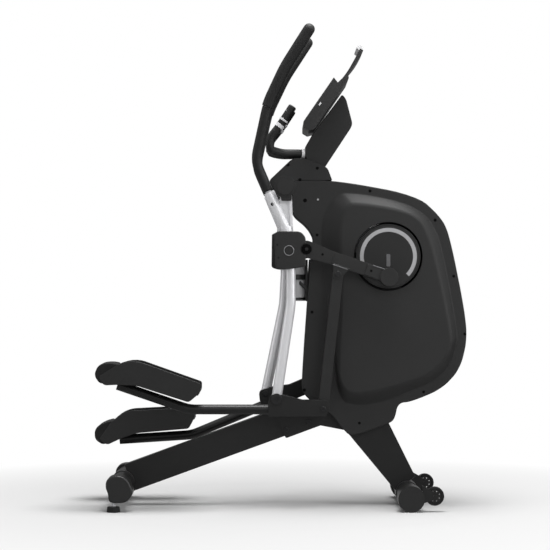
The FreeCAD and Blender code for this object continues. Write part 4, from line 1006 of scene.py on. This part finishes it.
# %% Saddles where the bars are welded on
for name, x, z in (("front", FRONT_X, FRONT_Z), ("rear", REAR_X, REAR_Z)):
    bar(0.0415, -0.043, 0.043, x, z, 72)
    round_edges(0.0018, 3)
    finish(f"{name}_saddle", frame_paint, "frame")

# %% [markdown]
# ## Neck, mast and console
# Above the housing, a neck cover closes round the frame's post, and a flat mast carries the console.
# These are moulded shells with clear flat sides and edges rounded by a few millimetres, so each is a
# pulled outline.

# %% Neck cover and mast
NECK = mm((-33, 1163), (49.1, 1241), (88.1, 1242), (174.1, 1208), (191.1, 1163.3), (60, 1163.3), (44, 1100),
          (-10, 1108), (-26, 1134))
plate(NECK, -0.07, 0.07, [0.008, 0.014, 0.012, 0.01, 0.002, 0, 0.004, 0.006, 0.01], 4)
round_sides(0.07, 0.0035, 4)
finish("neck_shell", housing_plastic, "frame", "neck_cover")
plate(mm((30, 1100), (30, 1190), (150, 1190), (170, 1130), (120, 1090)), -0.066, 0.066, [0] * 5)
finish("neck_liner", housing_plastic, "frame")
MAST = mm((121, 1328), (226.5, 1470), (240.5, 1457), (265.1, 1362), (168.1, 1215), (155, 1190), (104, 1190),
          (93.1, 1279))
plate(MAST, -0.056, 0.056, [0.006, 0.006, 0.012, 0.012, 0, 0, 0, 0.006], 4)
round_sides(0.056, 0.003, 3)
finish("mast_shell", housing_plastic, "frame", "console_mast")
print("neck and mast ready")

# %% [markdown]
# ## Console
# The console is a flat case with a cut-off lower corner. Its face leans towards the rider and holds a
# glass screen and a row of plain buttons. Above it a shelf for a tablet ends in a pale lip.

# %% Case
CASE = mm((105.1, 1333), (87.1, 1344), (87.1, 1366), (194.1, 1521), (208.1, 1503), (243, 1536), (248, 1518),
          (126, 1339))
plate(CASE, -0.165, 0.165, [0.003, 0.003, 0.003, 0.002, 0, 0.002, 0.005, 0.003], 3)
round_sides(0.165, 0.003, 3)
rise = Vector((107, 0, 158)).normalized()
look = Vector((-rise.z, 0, rise.x))
pick("faces", lambda face: face.normal.dot(look) > 0.99 and face.calc_area() > 0.02)
step_in(0.014, look * -0.0016)
step_in(0.002, look * -0.0010)
finish("console_case", trim_plastic, "frame", "console_body")


def on_face(along, across_y, out=0.0):
    """The turn and place of something on the console's face, along the slope from its lower edge."""
    low = Vector((0.0871, 0, 1.363))
    turn = Matrix((Vector((0, -1, 0)), rise, look)).transposed().to_4x4()
    return Matrix.Translation(low + rise * along + look * out + Vector((0, across_y, 0))) @ turn


# %% Screen, buttons and side inlay
start("cube", size=1, scale=(0.23, 0.1, 0.0022))
round_edges(0.006, 5, lambda edge: abs((edge.verts[0].co - edge.verts[1].co).normalized().z) > 0.9)
round_edges(0.0007, 2)
finish("screen_glass", glass, "frame", "console_screen", seat=on_face(0.117, 0, -0.0016))
for n, y in enumerate((-0.096, -0.048, 0, 0.048, 0.096)):
    start("cylinder", vertices=48, radius=0.0105 if n == 2 else 0.008, depth=0.0044)
    pick("faces", lambda face: face.normal.z > 0.9)
    step_in(0.0016, (0, 0, -0.0005))
    round_edges(0.0004, 2)
    finish(f"button_{n + 1}", light_print if n == 2 else rubber, "frame", seat=on_face(0.034, y, -0.0006))
start("cube", size=1, scale=(0.0115, 0.0052, 0.0008))
round_edges(0.0012, 3)
upended = Matrix.Rotation(math.radians(-55.9), 4, "Y") @ Matrix.Rotation(math.pi / 2, 4, "X")
finish("side_inlay", pale_plastic_and_painted_reflection, "frame", seat=Matrix.Translation((0.1455, -0.1653, 1.427)) @ upended)

# %% Tablet shelf
REST = mm((214.1, 1509), (244.1, 1546), (290.1, 1629), (300.5, 1622), (278.1, 1577), (245, 1541),
          (226.1, 1519.5))
plate(REST, -0.11, 0.11, [0, 0.02, 0.002, 0.002, 0.03, 0.01, 0], 4)
round_sides(0.11, 0.0018, 3)
finish("shelf", trim_plastic, "frame", "tablet_rest")
LIP = mm((275.1, 1631), (288.1, 1644.8), (300.1, 1634), (297.1, 1622), (287.1, 1621))
plate(LIP, -0.109, 0.109, [0.002, 0.005, 0.005, 0.002, 0], 4)
round_edges(0.0015, 3)
finish("shelf_lip", pale_plastic_and_painted_reflection, "frame")
print("console ready")

# %% [markdown]
# ## Fixed handlebar
# Two bent tubes leave the mast and end in foam grips, each with two metal pulse plates. The foam follows
# each tube from a pale collar near the mast to its rounded end. The collar is a real ring, and its pale
# colour is a painted reflection, for the shine of bright metal.

# %% Foam, tubes, plates and collars of the fixed handlebar
for side, way in OUTWARD.items():
    corners = [Vector((x, way * y, z)) / 1000 for x, y, z in (
        (132.1, 38, 1256), (83.1, 38, 1259.5), (12.1, 62, 1259), (-31.9, 98, 1270), (-29.9, 98, 1312),
        (7.1, 98, 1358), (49.1, 98, 1422))]
    line = bent_line(corners, (0.04, 0.09, 0.016, 0.028, 0.4))
    whole = length_of(line)
    last = (line[-1] - line[-2]).normalized()
    line.append(line[-1] + last * 0.01)
    sleeve(line, round_ended(0.0515, whole + 0.0035, 0.0150, (0.003, 0.006)))
    finish(f"{side}_fixed_grip", foam, "frame", smooth=60)
    sleeve(line, [(n / 100, 0.0144) for n in range(7)])
    tube = finish(f"{side}_fixed_tube", frame_paint, "frame", smooth=60)
    for name, low, high in (("wide", 0.088, 0.075), ("narrow", 0.0605, 0.0535)):
        sleeve(line, round_ended(whole - low, whole - high, 0.0166, (0.0008, 0.0008)))
        finish(f"{side}_pulse_{name}", silver, "frame", smooth=40)
    # The collar's pale coat is a painted reflection, for the shine of a bright metal ring.
    sleeve(line, round_ended(0.036, 0.052, 0.0168, (0.005, 0.002)))
    collar = finish(f"{side}_collar", pale_plastic_and_painted_reflection, "frame", smooth=60)
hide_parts("fixed_handlebar")
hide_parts("handlebar_rings")
print("fixed handlebar ready")

# %% [markdown]
# ## Bottle cage
# A cup for a bottle hangs behind the housing's post. The pale cup is held by a back strip, two rings and
# a crossing strap in black.

# %% Cup and straps
CUP_X = 0.0621
upright(0.036, 0.732, 0.861, CUP_X, 0, 72)
pick("faces", lambda face: face.normal.z > 0.9)
step_in(0.0022, (0, 0, -0.125))
round_edges(0.001, 2)
finish("bottle_cup", cup_plastic, "frame", "bottle_cage")
for n, (low, high) in enumerate(((0.736, 0.744), (0.808, 0.827))):
    upright(0.0385, low, high, CUP_X, 0, 72)
    make_ring(0.0022)
    round_edges(0.0005, 2)
    finish(f"cup_ring_{n + 1}", trim_plastic, "frame")
plate(mm((98.3, 731), (102.3, 731), (113, 881), (109, 881)), -0.03, 0.03, [0] * 4)
round_edges(0.0012, 2)
finish("cage_back", trim_plastic, "frame")
for n, way in enumerate((-1, 1)):
    for name, place, size, lean in (("strap", (0.092, way * 0.0325, 0.783), (0.052, 0.0035, 0.013), 41),
                                    ("rail", (0.1002, way * 0.031, 0.806), (0.009, 0.004, 0.148), 0)):
        start("cube", size=1, location=place, scale=size, rotation=(0, math.radians(lean), 0))
        round_edges(0.0012, 2)
        finish(f"cage_{name}_{n + 1}", trim_plastic, "frame")
print("bottle cage ready")

# %% [markdown]
# ## Screws
# Small dark screws hold the two housing shells together along the rim, and bolts hold the frame. Each has
# a head with a socket. The screws' near-black coat is partly painted shade, for the shadow in their holes.

# %% Screws along the housing
SCREWS = ((76.1, 1165, 5.6), (94.1, 1091, 7), (137.1, 968, 5), (326.1, 1125, 5.5), (558.1, 1021, 5.5),
          (624.1, 821, 5), (664.1, 615, 5), (517.1, 408, 5), (288.1, 297, 5), (119.1, 693, 5),
          (92.1, 415, 5.5), (34.1, 1218, 5.5), (138.1, 1206, 5.5))
FRAME_BOLTS = mm((28.1, 271), (107.1, 299), (257.1, 318), (204.1, 350))


def at_side(way, x, z):
    """Carries a head that looks to +Y to a place on one side of the frame."""
    return Matrix.Translation((x, 0, z)) @ Matrix.Diagonal((1, way, 1, 1))


# The screws' near-black coat is partly painted shade, for the shadow in their holes.
for n, (x, z, radius) in enumerate(SCREWS):
    for side, way in OUTWARD.items():
        socket_head(f"{side}_screw_{n + 1}", black_screw_and_painted_shade, "frame", radius / 1000, 0.0692, 0.0712, 0, 0,
                    at_side(way, x / 1000, z / 1000), 0.5)
for side, way in OUTWARD.items():
    place, arm = at_side(way, 0.1401, 1.094), seat(side, "arm")
    socket_head(f"{side}_bright_screw", zinc, "frame", 0.0038, 0.0692, 0.0714, 0, 0, place, 0.4)
    for n, (x, z) in enumerate(mm((-27, -203), (-23, -248))):
        name = f"{side}_box_screw_{n + 1}"
        socket_head(name, black_screw_and_painted_shade, f"{side}_arm", 0.003, 0.0332, 0.0345, x, z, arm, 0.5)
    for n, (x, z) in enumerate(FRAME_BOLTS):
        name, place = f"{side}_frame_bolt_{n + 1}", at_side(way, x, z)
        bolt = socket_head(name, dark_bolt, "frame", 0.0085, 0.0364, 0.0418, 0, 0, place)
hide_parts("frame_bolts")
for side, way in OUTWARD.items():
    rod, arm, place = seat(side, "rod"), seat(side, "arm"), at_side(way, 0.0264, 1.4095)
    # These heads sit where the rod has dark holes; their near-black coat is partly painted shade.
    for n, along in enumerate((0.059, 0.240)):
        name = f"{side}_rod_screw_{n + 1}"
        socket_head(name, black_screw_and_painted_shade, f"{side}_rod", 0.0042, 0.0178, 0.0192, along, 0.0005, rod, 0.5)
    name = f"{side}_handle_screw"
    socket_head(name, black_screw_and_painted_shade, f"{side}_arm", 0.0058, 0.0165, 0.0192, -0.0445, -0.060, arm, 0.5)
    socket_head(f"{side}_grip_screw", zinc, "frame", 0.002, 0.1132, 0.1145, 0, 0, place, 0.4)
print("screws ready")

# %% [markdown]
# ## Floor and light
# The machine stands in a white studio. A large soft lamp hangs above, a second stands beside the camera,
# and one more stands on each side. The floor is pale with a soft shadow. The white comes from what the
# camera sees, not from more light on the machine: in reflections the floor is dim, and dimmer still far
# off.

# %% Floor
bpy.ops.object.select_all(action="DESELECT")
bpy.ops.mesh.primitive_circle_add(vertices=96, radius=60, fill_type="NGON")
floor = bpy.context.object
floor.name = "studio_floor"
ground = Finish("studio floor", grey(0.62), Roughness=0.9, Specular_IOR_Level=0.0)


def glow(strength):
    """The same white light in every direction."""
    return ground.node("Emission", {}, {"Color": (1, 1, 1, 1), "Strength": strength})


def mixed(mask, first, second):
    """Goes from one shader to another with a mask."""
    return ground.node("MixShader", {}, {0: mask, 1: first, 2: second})


seen = ground.node("LightPath", {}, {}, "Is Camera Ray")
mirror = ground.node("LightPath", {}, {}, "Is Glossy Ray")
far_off = ground.node("VectorMath", {"operation": "LENGTH"}, {0: ground.place}, "Value")
near_fade = ground.node("MapRange", {}, {"Value": far_off, "From Min": 0.75, "From Max": 1.9})
far_fade = ground.node("MapRange", {}, {"Value": far_off, "From Min": 4.0, "From Max": 12.0})
lit = Port(ground, ground.shader.outputs[0])
shown = mixed(mirror, mixed(seen * near_fade, lit, glow(1.0)), mixed(far_fade, glow(0.35), glow(0.05)))
ground.feed(ground.tree.nodes["Material Output"].inputs["Surface"], shown)
paint(floor, ground)
print("floor", floor.dimensions[:])

# %% Lamps and sky
def soft_lamp(name, place, aim, size, watts):
    bpy.ops.object.light_add(type="AREA", location=place)
    lamp = bpy.context.object
    lamp.name, lamp.data.shape, lamp.data.size, lamp.data.energy = name, "DISK", size, watts
    lamp.rotation_euler = (Vector(aim) - Vector(place)).to_track_quat("-Z", "Y").to_euler()


soft_lamp("top lamp", (0.3, -0.3, 4.1), (0, 0, 0.3), 2.6, 185)
soft_lamp("camera lamp", (1.9, -4.5, 2.4), (0, 0, 0.8), 2.2, 36)
soft_lamp("left lamp", (-3.8, -1.0, 1.8), (0, -0.2, 0.9), 2.6, 18)
soft_lamp("right lamp", (3.8, -1.8, 1.8), (0, -0.2, 0.9), 3.0, 45)
sky = bpy.data.worlds.new("studio")
bpy.context.scene.world = sky
sky.use_nodes = True
tree = sky.node_tree
backdrop = tree.nodes["Background"]
path = tree.nodes.new("ShaderNodeLightPath")
way = tree.nodes.new("ShaderNodeTexCoord")
split = tree.nodes.new("ShaderNodeSeparateXYZ")
tree.links.new(way.outputs["Generated"], split.inputs[0])


def sky_maths(kind, *values):
    """A maths node of the sky, from numbers and other nodes' outputs."""
    node = tree.nodes.new("ShaderNodeMath")
    node.operation = kind
    for socket, value in zip(node.inputs, values):
        if isinstance(value, (int, float)):
            socket.default_value = value
        else:
            tree.links.new(value, socket)
    return node.outputs[0]


front = sky_maths("MAXIMUM", sky_maths("MULTIPLY", split.outputs["Y"], -1.0), 0.0)
right = sky_maths("MAXIMUM", split.outputs["X"], 0.0)
behind = sky_maths("MAXIMUM", split.outputs["Y"], 0.0)
above = sky_maths("MAXIMUM", split.outputs["Z"], 0.0)
mirrored = sky_maths("MULTIPLY_ADD", sky_maths("POWER", front, 1.6), 0.2, 0.38)
for part, share in ((right, 0.4), (behind, -0.2), (above, 0.35)):
    mirrored = sky_maths("MULTIPLY_ADD", part, share, mirrored)
looked_at = sky_maths("MAXIMUM", path.outputs["Is Camera Ray"], path.outputs["Is Transmission Ray"])
glossy = sky_maths("MULTIPLY", path.outputs["Is Glossy Ray"], mirrored)
not_glossy = sky_maths("SUBTRACT", 1.0, path.outputs["Is Glossy Ray"])
plain = sky_maths("MULTIPLY", not_glossy, sky_maths("MULTIPLY_ADD", looked_at, 0.7, 0.3))
tree.links.new(sky_maths("ADD", glossy, plain), backdrop.inputs["Strength"])
backdrop.inputs["Color"].default_value = (1, 1, 1, 1)
